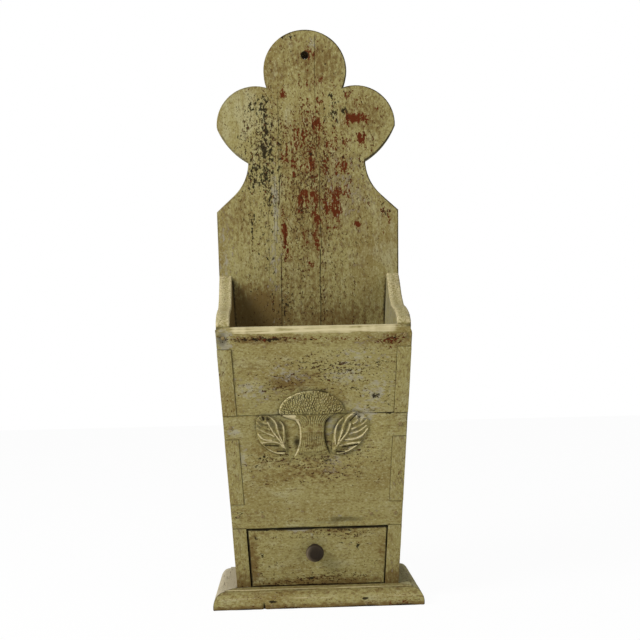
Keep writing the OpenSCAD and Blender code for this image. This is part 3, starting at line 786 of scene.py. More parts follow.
# The spots low on the board, just above the rim, are partly stains and partly painted shade, deepest at the
# lower left as the left side's painted shadow
BACK_STAIN_AND_SHADE = [
    (-58, 272, 38, 34, 1.25), (-27, 272, 12, 30, 0.85), (20, 264, 60, 32, 0.78), (60, 270, 20, 30, 0.55),
    (-10, 320, 60, 40, 0.5), (-10, 400, 26, 80, 0.6), (1, 561, 12, 12, 0.6), (14, 555, 45, 32, 0.68),
    (-30, 545, 20, 22, 0.52), (66, 492, 30, 30, 0.66), (-78, 385, 24, 40, 0.58), (16, 400, 56, 80, 0.62),
    (6, 362, 26, 22, 0.76),
]
BACK_GREY = [
    (-36, 385, 4, 45, 0.9), (-38, 330, 6, 40, 0.6), (8, 575, 5, 6, 0.9), (-92, 330, 8, 60, 0.5),
    (40, 410, 30, 40, 0.4),
]
BACK_PALE = [
    (-66, 492, 22, 26, 0.9), (-75, 450, 14, 14, 0.5), (60, 400, 30, 30, 0.4), (80, 350, 20, 26, 0.5),
]
BACK_FLECK = [
    (0, 420, 75, 130, 1.0), (5, 430, 45, 100, 1.3), (-40, 470, 40, 50, 1.1), (60, 470, 30, 50, 0.7),
    (0, 290, 70, 40, 0.75), (0, 560, 40, 30, 0.6),
]

# Drying cracks of the back board: across, from, to, strength
BACK_CRACKS = [
    (12.6, 80, 345, 0.9), (13.2, 347, 440, 0.5), (11.2, 442, 584, 0.4), (-30.2, 395, 522, 0.45),
    (-31, 240, 340, 0.55), (-37, 300, 432, 0.3), (-42.5, 318, 400, 0.28), (-33.6, 352, 412, 0.4),
    (-25.4, 345, 386, 0.35),
]

FRONT_RED = [
    (-48, 243.5, 34, 2.2, 0.5), (-12, 243.5, 14, 2.2, 0.7), (74, 240, 12, 5, 0.88), (-76, 244, 7, 3, 0.6),
    (35, 242, 30, 2, 0.5),
]
FRONT_BLACK = [
    (-48, 243, 38, 2.2, 0.8), (60, 187, 6, 3, 0.85), (55, 172, 6, 8, 0.45), (71, 190, 3, 24, 0.6),
    (30, 213, 40, 12, 0.4), (70, 243, 18, 2, 0.7), (30, 118, 14, 4, 0.62), (-52, 128, 14, 16, 0.4),
    (-87, 243, 6, 9, 0.5), (-77, 71, 3, 3, 1.0), (-53, 71, 2.5, 2.5, 0.9), (52, 71, 2, 2, 0.9),
    (8, 110, 8, 3, 0.6), (-47, 167, 7, 3.5, 0.95), (41, 167, 3, 5, 0.9),
]
FRONT_STAIN = [
    (-24, 201, 24, 8, 0.9), (-4, 209, 14, 4, 0.75), (-64, 216, 20, 14, 0.4), (-44, 190, 14, 12, 0.45),
    (0, 158, 60, 46, 0.3), (0, 116, 52, 14, 0.62), (74, 240, 12, 7, 0.8), (-60, 66, 30, 10, 0.36),
    (-48, 243, 40, 4, 0.8), (0, 240, 90, 5, 0.45), (-82, 200, 6, 60, 0.4), (-50, 120, 26, 22, 0.4),
    (-3, 150, 15, 20, 0.5), (-34, 158, 12, 14, 0.4),
]
FRONT_GREY = [
    (-87, 243, 8, 11, 1.1), (47, 172, 13, 9, 0.95), (-79, 155, 5, 4, 1.1), (-71, 131, 4, 12, 0.7),
    (-60, 192, 20, 14, 0.62), (-28, 209, 26, 8, 0.6), (30, 208, 26, 9, 0.66), (58, 193, 16, 16, 0.7),
    (40, 226, 26, 12, 0.5), (30, 70, 22, 5, 0.3), (18, 122, 12, 8, 0.6), (16, 160, 6, 10, 0.75),
    (34, 150, 16, 16, 0.5),
]
FRONT_FLECK = [
    (20, 212, 60, 26, 0.9), (-30, 200, 50, 20, 0.8), (0, 64, 80, 8, 0.4), (-45, 243.5, 42, 2.4, 1.6),
    (0, 122, 70, 24, 0.9), (75, 240, 14, 5, 1.6),
]

# Smudges on the rail, in the pocket between the left leaf and the stalks, and at the rim's left end
FRONT_SMUDGE = [
    (29, 66.5, 16, 3, 0.8), (14, 65, 22, 4, 0.35), (-18.5, 144, 3.5, 7, 0.75), (-89, 246, 5, 9, 0.5),
]

DRAWER_STAIN = [
    (0, 3, 70, 6, 0.9), (-63, 24, 5, 28, 1.0), (0, 55, 70, 3, 0.6), (-2, 33, 13, 13, 0.45),
    (64, 30, 4, 30, 0.6),
]
DRAWER_BLACK = [
    (-55, 32, 2, 2, 1.3), (40, 39, 1.5, 2.6, 1.5), (-6, 6, 2.5, 3, 1.2), (0, 57, 60, 1.5, 0.6),
    (-61, 50, 4, 4, 0.8),
]
DRAWER_GREY = [(-20, 57, 9, 2, 1.3), (-6, 51, 2, 2, 1.1)]
DRAWER_FLECK = [(0, 53, 70, 6, 1.0), (0, 6, 70, 10, 1.1), (-50, 20, 20, 20, 0.6), (50, 20, 20, 14, 0.6)]

# The front strip of the plinth: spots along it and up, and where its foot is split
BASE_BLACK = [(-45, 7.3, 3.4, 0.8, 2.6), (44.5, 7.8, 2.8, 0.8, 2.6)]
BASE_RED = [(70, 3, 4, 3, 0.8), (83, 4, 6, 2, 0.7)]
BASE_SPLIT = -53 * MM


def marked(across, up, red=(), black=(), stain=(), grey=(), fleck=(), pale=()):
    """The finish's attributes from lists of spots."""
    lists = {"red": red, "black": black, "stain": stain, "grey": grey, "fleck": fleck, "pale": pale}
    return {label: spots(across, up, places) for label, places in lists.items()}


# The carved front

SHEAF_X = -3.8 * MM
DISH_X, DISH_UP = -3 * MM, JOINT_H - 11.5 * MM
DISH_HALF_W, DISH_HALF_H = 70 * MM, 55 * MM
HEAD_HALF_W, HEAD_TOP = 31.5 * MM, 20 * MM
STALK_FOOT = -44 * MM
STALK_COUNT = 14
# Each leaf in millimetres across the box and up from the joint: its outline, the ridges on it and the slots
# cut into it
LEAVES = [
    (
        [(-50, 0), (-40.5, -3), (-31.5, -8.5), (-29.4, -20), (-28, -36.5), (-36, -38.4), (-46.5, -34),
         (-55, -25), (-57.8, -11), (-56, -2.5)],
        [
            [(-33.4, -6), (-31.2, -11.5), (-30.8, -17.5), (-31.2, -26.7)],
            [(-45.3, -0.7), (-39, -7.5), (-36.2, -17.5), (-30.9, -30.5)],
            [(-47.6, -5), (-42, -15.5), (-35.5, -24.5), (-29.8, -33)],
            [(-53.4, -26.3), (-46, -33.8), (-38.5, -37.3), (-31, -37.5)],
            [(-51.5, -27.1), (-43, -26), (-35.3, -28), (-31.5, -32)],
            [(-55.6, -18.5), (-51, -23.5), (-42.8, -24.6)],
            [(-56.4, -12.4), (-50, -16.3), (-40.5, -20.7)],
            [(-57, -6.7), (-52, -11.3), (-44.8, -14.2)],
            [(-55.1, -2.6), (-52.2, -6.4), (-47.5, -8)],
        ],
        [[(-37.8, -35.6), (-30, -35.8)], [(-49, -29.3), (-36.5, -30.4)]],
    ),
    (
        [(38, 1.5), (48, -1.8), (51.8, -8), (50.5, -18.5), (44, -28.5), (33, -36.8), (21, -39.8),
         (15.8, -37.5), (16.2, -28), (17.8, -17), (22, -8), (30, -1.2)],
        [
            [(26.1, -4.6), (20.6, -11), (18.6, -20), (18.9, -30.2)],
            [(38.3, 1.3), (30.3, -5), (26, -15.9), (21.3, -29.5)],
            [(33.6, -10.4), (30.5, -18.5), (23.2, -27.6), (17.8, -35)],
            [(23.5, -31.5), (32, -29.7), (43.7, -28.4)],
            [(28.9, -25.7), (38, -24.8), (45.2, -21.5), (50.2, -15.5)],
            [(32.7, -20.6), (42, -17.4), (49, -12.4)],
            [(35.1, -15.3), (43, -12.2), (49.5, -7.3)],
            [(36.6, -10.1), (40.8, -7), (39.7, -2.5)],
            [(43.5, -8.7), (45.8, -5), (48.8, -4.3)],
            [(21, -39), (29, -37.4), (37, -33.3), (43.4, -28.8)],
        ],
        [[(19.7, -37.4), (27.6, -37)], [(25.8, -32.7), (41, -30.6)], [(33.6, -7), (40, -0.8)]],
    ),
]
# Half width of a leaf's ridge, its height over the front and the depth of the hollows between ridges
RIDGE_HALF_W, RIDGE_TOP, RIDGE_DEEP = 1.0 * MM, 0.8 * MM, 2.0 * MM
# Points on each stretch of a drawn curve
CURVE_STEPS = 6


def curve(points, closed=False):
    """A smooth line in metres through points given in millimetres."""
    line = np.array(points, float) * MM
    if closed:
        line = np.concatenate([line[-1:], line, line[:2]])
    else:
        line = np.concatenate([2 * line[:1] - line[1:2], line, 2 * line[-1:] - line[-2:-1]])
    share = np.arange(CURVE_STEPS)[:, None] / CURVE_STEPS
    parts = []
    for a, b, c, d in zip(line, line[1:], line[2:], line[3:]):
        bend = 2 * a - 5 * b + 4 * c - d + share * (3 * (b - c) + d - a)
        parts.append(b + 0.5 * share * (c - a + share * bend))
    if not closed:
        parts.append(line[-2:-1])
    return np.concatenate(parts)


def dish_reach(across, up):
    """0 at the middle of the scooped dish and 1 at its rim."""
    return np.hypot((across - DISH_X) / DISH_HALF_W, (up - DISH_UP) / DISH_HALF_H)


def head_shape(x, y):
    """Distance inside the edge of the sheaf's head, and reach from its middle."""
    mid = 2.5 * MM
    below = (4.6 - 2.4 * x / HEAD_HALF_W) * MM
    tall = np.where(y > mid, HEAD_TOP, below)
    reach = np.hypot(x / HEAD_HALF_W, (y - mid) / tall)
    slope = np.hypot(x / HEAD_HALF_W ** 2, (y - mid) / tall ** 2) / np.maximum(reach, 1e-6)
    return (1 - reach) / np.maximum(slope, 1e-3), reach


def stalk_half_width(x, y):
    """Half the width of the bound stalks, which flare into the head, most on the left."""
    waist = -20 * MM
    over = np.clip((y - waist) / (20 * MM), 0, 1)
    under = np.clip((waist - y) / (23 * MM), 0, 1.3)
    right_flare = 10 * np.clip((y + 12 * MM) / (12 * MM), 0, 1) ** 2.6
    left_flare = 5 * np.clip((y + 16 * MM) / (12 * MM), 0, 1) ** 2 + 11 * soft_step(y, -6.5 * MM, -0.5 * MM)
    return (11.8 + 1.2 * over ** 2 + 7.2 * under ** 2 + np.where(x < 0, left_flare, right_flare)) * MM


def stalk_shape(x, y):
    """Distance inside the outline of the bound stalks, distance inside their flanks, and place across them
    from -1 to 1."""
    half = stalk_half_width(x, y)
    slope = (stalk_half_width(x, y + 0.1 * MM) - half) / (0.1 * MM)
    place = (x - 0.2 * MM) / half
    flank = half * (1 - np.abs(place)) / np.hypot(1, slope)
    ragged = STALK_FOOT + 2.2 * MM * noise(stacked(x, 0 * x), 3.2 * MM, 5)
    return np.minimum(flank, np.minimum(y - ragged, 6 * MM - y)), flank, place


def leaf_edge(here, outline):
    """Distance inside a leaf's outline, below 0 outside it."""
    line = curve(outline, closed=True)
    return distance_to(here, line) * np.where(inside(here, line), 1, -1)


def nearest_curve(here, curves):
    """Distance of each point from the nearest of some open curves."""
    return np.min([distance_to(here, curve(points), closed=False) for points in curves], axis=0)


def carving(across, up):
    """Depth, dirt and rubbing of the carved front, with painted shade round and between the carved parts and
    painted highlights on their edges: a scooped dish with a sheaf and two leaf sprays left standing."""
    crown = -sizes().crown
    x, y = across - SHEAF_X, up - JOINT_H
    here = stacked(across, y)
    stalk, flank, place = stalk_shape(x, y)
    head, reach = head_shape(x, y)
    leaf_edges = [leaf_edge(here, outline) for outline, _, _ in LEAVES]
    close = np.max([stalk, head, *leaf_edges], axis=0)

    # The ground is gouged deepest beside the carving
    dish = sizes().dish_depth * np.clip(1 - dish_reach(across, up) ** 2, 0, 1) ** 0.8
    beside = np.exp(np.minimum(close, 0) / (2.4 * MM)) * np.clip(dish / (1 * MM), 0, 1)
    gouged = 0.16 * MM * noise(here, 5 * MM, 21) + 0.3 * MM * np.abs(noise(here, 11 * MM, 23))
    depth = dish + gouged * np.clip(dish / (1 * MM), 0, 1) + 0.9 * MM * beside
    # Painted shade: the gouged ground is darkened beside the carving, most on the stalks' right, away from
    # the lamp
    shade = 0.4 + 0.6 * soft_step(x, 4 * MM, 12 * MM) * soft_step(x, 20 * MM, 14 * MM)
    grime = np.maximum(shade * beside * (close < 0), spots(across, up, FRONT_SMUDGE))
    rubbed = np.zeros(len(x))

    band = soft_step(np.abs(y + 14.6 * MM), 2.8 * MM, 2.2 * MM)
    cord_lines = soft_step(np.abs(np.abs(y + 14.6 * MM) - 2.3 * MM), 0.8 * MM, 0.2 * MM)
    fade = soft_step(y, STALK_FOOT + 13 * MM, STALK_FOOT + 3 * MM)
    straw = np.abs(np.cos(np.pi * STALK_COUNT * (place + 1) / 2))
    straw = 1 - (1 - straw) * (1 - 0.75 * band) * (1 - 0.8 * fade)
    rough = fade * (1.3 * MM + 1.1 * MM * noise(here * (0.6, 1), 2.4 * MM, 22))
    ticks = soft_step(y, -9 * MM, -6 * MM)
    top = crown + 1.2 * MM * place ** 2 + (0.65 + 0.3 * ticks) * MM * (1 - straw)
    top += rough - 0.3 * MM * cord_lines
    rise = shoulder(stalk, 1.7 * MM) * (1 - 0.9 * soft_step(y, STALK_FOOT + 9 * MM, STALK_FOOT + 1 * MM))
    depth += (top - depth) * rise
    # The grooves between the straws are darkened as painted shade, and the ragged foot is darkened too
    lines = (0.75 + 0.25 * ticks) * (1 - straw) ** 2
    grime = np.maximum(grime, rise * np.maximum(lines, 0.45 * soft_step(rough, 0.8 * MM, 2 * MM)))
    flared = soft_step(y, -14 * MM, -5 * MM)
    # Painted highlight along the stalks' left flank, which faces the lamp
    left_edge_highlight = soft_step(flank, (2.2 + 1.2 * flared) * MM, 0.6 * MM) * (stalk > 0) * (x < 0)
    left_edge_highlight *= (0.85 + 0.4 * flared) * soft_step(y, STALK_FOOT, STALK_FOOT + 4 * MM)
    rubbed = np.maximum(rubbed, np.maximum(left_edge_highlight, 0.4 * rise * cord_lines))

    for edge, (_, ridges, slots) in zip(leaf_edges, LEAVES):
        ridge_half_w = RIDGE_HALF_W * (1 + 0.35 * noise(here, 2.6 * MM, 25))
        crest = np.exp(-(nearest_curve(here, ridges) / ridge_half_w) ** 2)
        cut = soft_step(nearest_curve(here, slots), 0.9 * MM, 0.2 * MM)
        top = -RIDGE_TOP + RIDGE_DEEP * (1 - crest)
        rise = shoulder(edge, 1.1 * MM)
        depth += (np.minimum(top, depth) + 0.6 * MM * cut - depth) * rise
        # Painted shade in the hollows between the ridges and in the slots; the crests are painted pale,
        # partly as wear and partly as a painted highlight
        grime = np.maximum(grime * (1 - rise), rise * np.maximum(0.38 * (1 - crest) ** 2, cut))
        rubbed = np.maximum(rubbed, rise * crest ** 2 * (0.95 + 0.6 * noise(here, 7 * MM, 24)))

    top = crown + 1.9 * MM * reach ** 2
    rise = shoulder(head, 1.6 * MM)
    depth += (top - depth) * rise
    # Painted highlight on the head's edge at the upper left, where it faces the lamp
    lit = soft_step(0.6 * y / HEAD_TOP - x / HEAD_HALF_W, 0.2, 0.9)
    lip = soft_step(-x, 13 * MM, 17 * MM) * (y < 0) * soft_step(np.maximum(head, flank), 0, 0.4 * MM)
    lip *= soft_step(y, -8 * MM, -6 * MM) * (0.85 + 0.3 * noise(here, 4 * MM, 27))
    lit_edge_highlight = soft_step(head, 2.4 * MM, 0.5 * MM) * (head > 0) * lit
    gaps = 0.1 + 0.38 * soft_step(noise(here, 3.5 * MM, 26), -0.2, 0.5)
    grime = np.maximum(grime * (1 - rise), rise * gaps * (1 - np.minimum(lit_edge_highlight, 1)))
    rubbed = np.maximum(rubbed * (1 - rise), np.maximum(0.8 * lit_edge_highlight, lip))
    return depth, grime * np.clip(1 - lip, 0, 1), rubbed


def carved_region(across, up):
    """Where the front needs its finest points: the sheaf, the leaves and their flanks."""
    x, y = across - SHEAF_X, up - JOINT_H
    here = stacked(across, y)
    edges = [stalk_shape(x, y)[0], head_shape(x, y)[0]]
    edges += [leaf_edge(here, outline) for outline, _, _ in LEAVES]
    return np.max(edges, axis=0) > -1.2 * MM


def dish_region(across, up):
    """Where the front needs finer points: the dish and just past its rim."""
    return dish_reach(across, up) < 1.05


def front_marks(across, up, depth):
    """The finish's attributes on both front boards."""
    return marked(across, up, FRONT_RED, FRONT_BLACK, FRONT_STAIN, FRONT_GREY, FRONT_FLECK)


# Operators, one for each piece or group of like pieces


class SALTBOX_OT_back_board(bpy.types.Operator):
    """Tall back board with the lobed crest, the hang hole and its drying cracks"""

    bl_idname = "salt_box.back_board"
    bl_label = "Back board"

    def execute(self, context):
        front_rims, rear_rims = (flat_rims("back_board", Vector((0, side, 0))) for side in (-1, 1))
        outline = densify(front_rims[0][:, [0, 2]] - (0, BASE_H), 2.5 * MM)
        hole, rear_hole = (
            max(rims[1:], key=lambda rim: rim[:, 2].mean())[:, [0, 2]] - (0, BASE_H)
            for rims in (front_rims, rear_rims)
        )
        hole_at = (hole.min(0) + hole.max(0)) / 2
        hole_drop = hole_at[1] - (rear_hole.min(0) + rear_hole.max(0))[1] / 2
        hole = densify(hole, 1.2 * MM)
        thick = WALL_Y - BACK_Y
        worn = sizes().arris_round

        def near_hole(across, up):
            return soft_step(np.hypot(across - hole_at[0], up - hole_at[1]), 14 * MM, 8 * MM)

        def easing(points):
            near = near_hole(points[:, 0], points[:, 1])
            radius = worn * (1 - 0.7 * near)
            # Painted shade and highlight: edges are darker towards the right, away from the lamp, and paler
            # towards the left, and the hang hole's edge is darkened as painted shade
            right = soft_step(points[:, 0], -50 * MM, 10 * MM)
            return radius, 0.8 * radius, 0.3 - 0.2 * right, 0.35 + 0.3 * right + 0.35 * near

        cracks = []
        for seed, (at, low, high, strength) in enumerate(BACK_CRACKS):
            rise = np.arange(low, high, 1.6) * MM
            line = stacked(rise, 0 * rise)
            wander = 0.6 * noise(line, 22 * MM, seed) + noise(line, 140 * MM, seed)
            cracks.append((stacked((at + wander) * MM, rise), strength))

        def place(across, up, into):
            # The hang hole slopes down towards the wall
            slide = hole_drop * into / thick * near_hole(across, up)
            return stacked(across, BACK_Y + into, BASE_H + up - slide)

        def marks(across, up, depth):
            values = marked(across, up, BACK_RED, BACK_BLACK, BACK_STAIN_AND_SHADE, BACK_GREY, BACK_FLECK, BACK_PALE)
            # Flakes come off in clumps that are longer along the grain
            values["red"] *= 1 + 0.3 * noise(stacked(across, 0.6 * up), 5 * MM, 98)
            # Darker towards the bottom, down inside the box
            below = soft_step(up, 250 * MM, 90 * MM)
            values["stain"] = np.maximum(values["stain"], 0.6 * below)
            # Painted shade in the inside corners, where the back meets the sides
            from_side = np.abs(np.abs(across) - half_width(up, BOARD_T))
            corner = soft_step(from_side, 3.2 * MM, 1.2 * MM) * (up < SIDE_H - 4 * MM) * (depth < BOARD_T / 2)
            values["grime"] = 0.75 * corner
            return values

        board(
            "back_board", [outline, hole], thick, place, easing,
            [finish("paint_upright"), finish("pine_upright")], [(2.4 * MM, None)], 7 * MM,
            cracks=cracks, marks=marks, seed=40,
        )
        return {"FINISHED"}


class SALTBOX_OT_sides(bpy.types.Operator):
    """Splayed sides with the ogee top edge and the tongues of the corner joints"""

    bl_idname = "salt_box.sides"
    bl_label = "Sides"

    def execute(self, context):
        worn, joint_r = sizes().arris_round, sizes().joint_round
        for name, hand in (("left_side", -1), ("right_side", 1)):
            facing = Vector((hand * math.cos(SPLAY), 0, -math.sin(SPLAY)))
            outline = flat_rims(name, facing)[0][:, [1, 2]] - (0, BASE_H)
            if area(outline) < 0:
                outline = outline[::-1]
            outline = densify(outline, 2.5 * MM)

            def easing(points):
                top = points[:, 1] > RIM_H + 0.5 * MM
                ends = points[:, 0] < front_y(points[:, 1], 0.3 * MM)
                radius = np.where(top, 1.4 * worn, joint_r)
                return radius, radius, np.where(top, 0.75, 0.12 * ends), np.where(top | ends, 0, 0.6)

            def place(across, up, into):
                return stacked(hand * half_width(up, into), across, BASE_H + up)

            def marks(across, up, depth):
                inner = (depth > BOARD_T - 0.3 * MM) & (across > front_y(up, 1 * MM))
                arris = (depth > 0.3 * MM) & (depth < 1.8 * MM) & (up > RIM_H + 2 * MM)
                top = soft_step(up, RIM_H - 4 * MM, RIM_H + 10 * MM)
                low = soft_step(up, 230 * MM, 80 * MM)
                foot = soft_step(up, 24 * MM, 4 * MM)
                # Painted shade: the left side's inner face is darkened, and the right side has a dark line
                # along the outer edge of its top, away from the lamp. The inner faces also darken towards the
                # bottom.
                return {
                    "stain": np.where(inner, 0.35 + 0.4 * low + 0.7 * (hand < 0), 0.2 + 0.6 * foot),
                    "grey": np.where(inner, 0.55 * (hand > 0), 0.1),
                    "pale": np.where(inner, 0.6 * (hand > 0), 0.3 * top),
                    "grime": 0.4 * arris * (hand > 0),
                    "fleck": np.full(len(across), 0.3),
                    "black": 0.15 * top,
                }

            board(
                name, [outline], BOARD_T, place, easing, [finish("paint_upright")], [(3 * MM, None)], 3 * MM,
                marks=marks, seed=60 + hand,
            )
        return {"FINISHED"}


class SALTBOX_OT_front_boards(bpy.types.Operator):
    """Leaning front boards with their fingers, the worn rim and the carved sheaf"""

    bl_idname = "salt_box.front_boards"
    bl_label = "Front boards"

    def execute(self, context):
        size = sizes()
        rim_finger_h = RIM_H - size.rim_finger
        middle_finger_h = JOINT_H - size.middle_finger
        low_finger_h = DRAWER_H + size.low_finger
        # Height and inset of the right-hand edge's corners, from below
        upper = [(JOINT_H, BOARD_T), (rim_finger_h, BOARD_T), (rim_finger_h, 0), (RIM_H, 0)]
        lower = [
            (DRAWER_H, 0), (low_finger_h, 0), (low_finger_h, BOARD_T),
            (middle_finger_h, BOARD_T), (middle_finger_h, 0), (JOINT_H, 0),
        ]

        def easing(points):
            rim = points[:, 1] > RIM_H - 0.3 * MM
            sill = points[:, 1] < DRAWER_H + 0.3 * MM
            ends = np.abs(points[:, 0]) > half_width(points[:, 1], 0.3 * MM)
            open_edge = rim | sill | ends
            front = np.where(open_edge, 0.8 * size.arris_round, size.joint_round)
            back = np.where(open_edge, size.arris_round, size.joint_round)
            front = np.where(rim, size.rim_round, front)
            back = np.where(rim, 0.4 * size.rim_round, back)
            handled = soft_step(points[:, 0], -84 * MM, -74 * MM) * soft_step(points[:, 0], 86 * MM, 74 * MM)
            handled *= 0.87 + 0.3 * noise(points, 13 * MM, 97) + 0.2 * noise(points, 4 * MM, 96)
            joint_dirt = np.where(np.abs(points[:, 0]) < 62 * MM, 0.5, 0.7)
            rubbed = np.where(rim, 0.3 + 0.85 * handled, 0.15 * open_edge)
            return front, back, rubbed, np.where(open_edge, 0.3 * ~rim, joint_dirt)

        def place(across, up, into):
            # The rim's ends are worn down by hands
            edge = half_width(up, 0)
            corner = soft_step(np.abs(across), edge - 9 * MM, edge) * soft_step(up, RIM_H - 10 * MM, RIM_H)
            inward = 2.2 * MM * corner * (across > 0)
            return stacked(across - inward, front_y(up, into), BASE_H + up - 2.4 * MM * corner)

        levels = [(2.4 * MM, None), (1.1 * MM, dish_region), (0.45 * MM, carved_region)]
        for name, corners, seed in (("upper_front_board", upper, 80), ("lower_front_board", lower, 90)):
            right = np.array([(half_width(up, inward), up) for up, inward in corners])
            outline = densify(np.concatenate([right, (right * (-1, 1))[::-1]]), 1.6 * MM)
            board(
                name, [outline], BOARD_T, place, easing, [finish("paint_across"), finish("pine_across")],
                levels, relief=carving, marks=front_marks, seed=seed,
            )
        return {"FINISHED"}


class SALTBOX_OT_inner_boards(bpy.types.Operator):
    """Floor of the salt compartment and the bottom board that the sides stand on"""

    bl_idname = "salt_box.inner_boards"
    bl_label = "Floor and bottom"

    def execute(self, context):
        joint_r = sizes().joint_round

        def eased(points):
            radius = np.full(len(points), joint_r)
            return radius, radius, np.zeros(len(points)), np.full(len(points), 0.6)

        top_half = half_width(FLOOR_TOP_H, BOARD_T)
        top_deep = BACK_Y - front_y(FLOOR_TOP_H, BOARD_T)
        corners = np.array([(-top_half, -top_deep), (top_half, -top_deep), (top_half, 0), (-top_half, 0)])

        def floor_place(across, up, into):
            height = FLOOR_TOP_H - into
            narrow = half_width(height, BOARD_T) / top_half
            shallow = (BACK_Y - front_y(height, BOARD_T)) / top_deep
            return stacked(across * narrow, BACK_Y + up * shallow, BASE_H + height)

        def floor_marks(across, up, depth):
            return {"grime": 0.45 * soft_step(np.abs(across), 0.6 * top_half, top_half)}

        board(
            "compartment_floor", [densify(corners, 3 * MM)], FLOOR_TOP_H - FLOOR_H, floor_place, eased,
            [finish("pine_across")], [(4 * MM, None)], marks=floor_marks, seed=100,
        )
        half = BOX_W / 2
        plan = np.array([(-half, FOOT_Y), (half, FOOT_Y), (half, WALL_Y), (-half, WALL_Y)])

        def bottom_place(across, up, into):
            return stacked(across, up, BASE_H - into)

        board(
            "bottom_board", [densify(plan, 3 * MM)], BASE_H, bottom_place, eased,
            [finish("pine_across")], [(5 * MM, None)], seed=110,
        )
        return {"FINISHED"}


class SALTBOX_OT_plinth(bpy.types.Operator):
    """Ovolo strips of the base, mitred at the front corners"""

    bl_idname = "salt_box.plinth"
    bl_label = "Plinth"

    def execute(self, context):
        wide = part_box("base_right_moulding")[1].x - BOX_W / 2
        half = BOX_W / 2
        ovolo, ovolo_h, quirk, foot_r = 9.5 * MM, 12.3 * MM, 1.2 * MM, 1.5 * MM
        step = wide - ovolo - quirk
        middle = BASE_H - quirk - ovolo_h
        turn = [math.radians(a) for a in range(90, -1, -6)]
        foot = [math.radians(a) for a in (0, -30, -60, -90)]
        # Section: out from the box and up, from the top of the inner face round to the underside
        section = [(0.0, BASE_H), (step * 0.3, BASE_H), (step * 0.7, BASE_H), (step - 0.3 * MM, BASE_H)]
        section += [(step, BASE_H - 0.3 * MM), (step + 0.15 * MM, BASE_H - quirk)]
        section += [(step + quirk, BASE_H - quirk)]
        section += [(wide - ovolo + ovolo * math.cos(a), middle + ovolo_h * math.sin(a)) for a in turn]
        section += [(wide, (middle + foot_r) / 2)]
        section += [(wide - foot_r + foot_r * math.cos(a), foot_r + foot_r * math.sin(a)) for a in foot]
        section += [(wide / 2, 0.0), (0.0, 0.0)]
        section = np.array(section)
        out, up = section[:, 0], section[:, 1]
        gap = 0.12 * MM

        def strip(name, starts, ends, place, material, seed, split_at=1.0, black=(), red=(), bleached=0.0):
            """Sweeps the section from its starts to its ends, one pair for each point of the section.

            split_at is where its foot is split, black and red list spots along it and up, and bleached is
            how far the weather has bleached it."""
            front = len(black) > 0
            stations = 240
            share = np.linspace(0, 1, stations)[:, None]
            run = starts[None, :] * (1 - share) + ends[None, :] * share
            flat = stacked(run.ravel(), np.tile(out, stations), np.tile(up, stations))
            along, outward, height = flat.T
            nose = soft_step(outward, step, step + 3 * MM)
            wear = 0.35 * MM * noise(flat, 9 * MM, seed) + 0.25 * MM * noise(flat, 3.5 * MM, seed + 1)
            chips = 1.1 * MM * np.maximum(0, noise(flat, 7 * MM, seed + 2) - 0.45)
            split = np.exp(-((along - split_at) / (1.3 * MM)) ** 2) * soft_step(height, 8 * MM, 4 * MM)
            outward -= nose * (np.maximum(0, wear) + chips + 2.6 * MM * split)
            height -= (height > BASE_H / 2) * nose * np.maximum(0, wear)
            count = len(section)
            faces = []
            for s in range(stations - 1):
                for i in range(count):
                    j = (i + 1) % count
                    faces.append((s * count + i, s * count + j, (s + 1) * count + j, (s + 1) * count + i))
            faces.append(tuple(range(count)))
            faces.append(tuple((stations - 1) * count + i for i in range(count)))
            from_ends = [np.abs(along - np.tile(end, stations)) for end in (starts, ends)]
            end_dirt = 0.7 * np.exp(-np.min(from_ends, axis=0) / (0.5 * MM))
            # Painted shade: a dark line in the quirk
            quirk_shade = soft_step(np.abs(outward - step - 0.5 * quirk), 1.0 * MM, 0.3 * MM)
            quirk_shade *= (0.2 + 0.2 * front) * (height > middle)
            inner = soft_step(outward, 2.5 * MM, 0)
            # Darker along the foot, unevenly
            foot_dark = soft_step(height, 3 * MM, 0.8 * MM) * nose
            foot_dark *= 0.55 + 0.5 * noise(flat, 12 * MM, seed + 3)
            shelf = 0.25 * front * soft_step(height, middle + 0.6 * ovolo_h, middle + 0.85 * ovolo_h)
            # Painted highlights: a pale line along the fillet's edge and a pale band round the middle of the
            # ovolo
            lip = soft_step(np.abs(outward - step + 0.5 * MM), 1.6 * MM, 0.4 * MM)
            lip *= height > BASE_H - 0.6 * MM
            belly_highlight = soft_step(np.abs(height - middle - 0.55 * ovolo_h), 3 * MM, 0.5 * MM) * nose
            values = {
                "worn": np.maximum(0.45 * belly_highlight, (0.3 + 0.3 * front) * lip),
                "grime": np.max([quirk_shade, end_dirt, 0.5 * inner, 0.9 * split, foot_dark], axis=0),
                "fleck": np.where(front, 0.3 * nose, 0.5),
                "stain": np.where(front, 0.2 + 0.75 * soft_step(height, 7 * MM, 1 * MM) + shelf, 0.3),
                "black": spots(along, height, black) * nose,
                "red": spots(along, height, red) * nose,
                "bleached": np.full(len(flat), bleached),
                "pale": np.full(len(flat), 0.1 if front else 1.2),
                "grey": np.full(len(flat), bleached),
            }
            piece = new_piece(name, place(along, outward, height), faces, [finish(material)], values)
            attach(piece, "carcase")
            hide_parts(name)

        def front_place(along, outward, height):
            return stacked(along, FOOT_Y - outward, height)

        strip(
            "base_front_moulding", -half - out + gap, half + out - gap, front_place, "paint_across", 120,
            BASE_SPLIT, BASE_BLACK, BASE_RED,
        )
        for name, hand, bleached in (("base_left_moulding", -1, 1.0), ("base_right_moulding", 1, 0.3)):

            def side_place(along, outward, height, hand=hand):
                return stacked(hand * (half + outward), along, height)

            strip(
                name, FOOT_Y - out + gap, np.full(len(section), WALL_Y), side_place, "paint_inwards",
                130 + hand, bleached=bleached,
            )
        return {"FINISHED"}


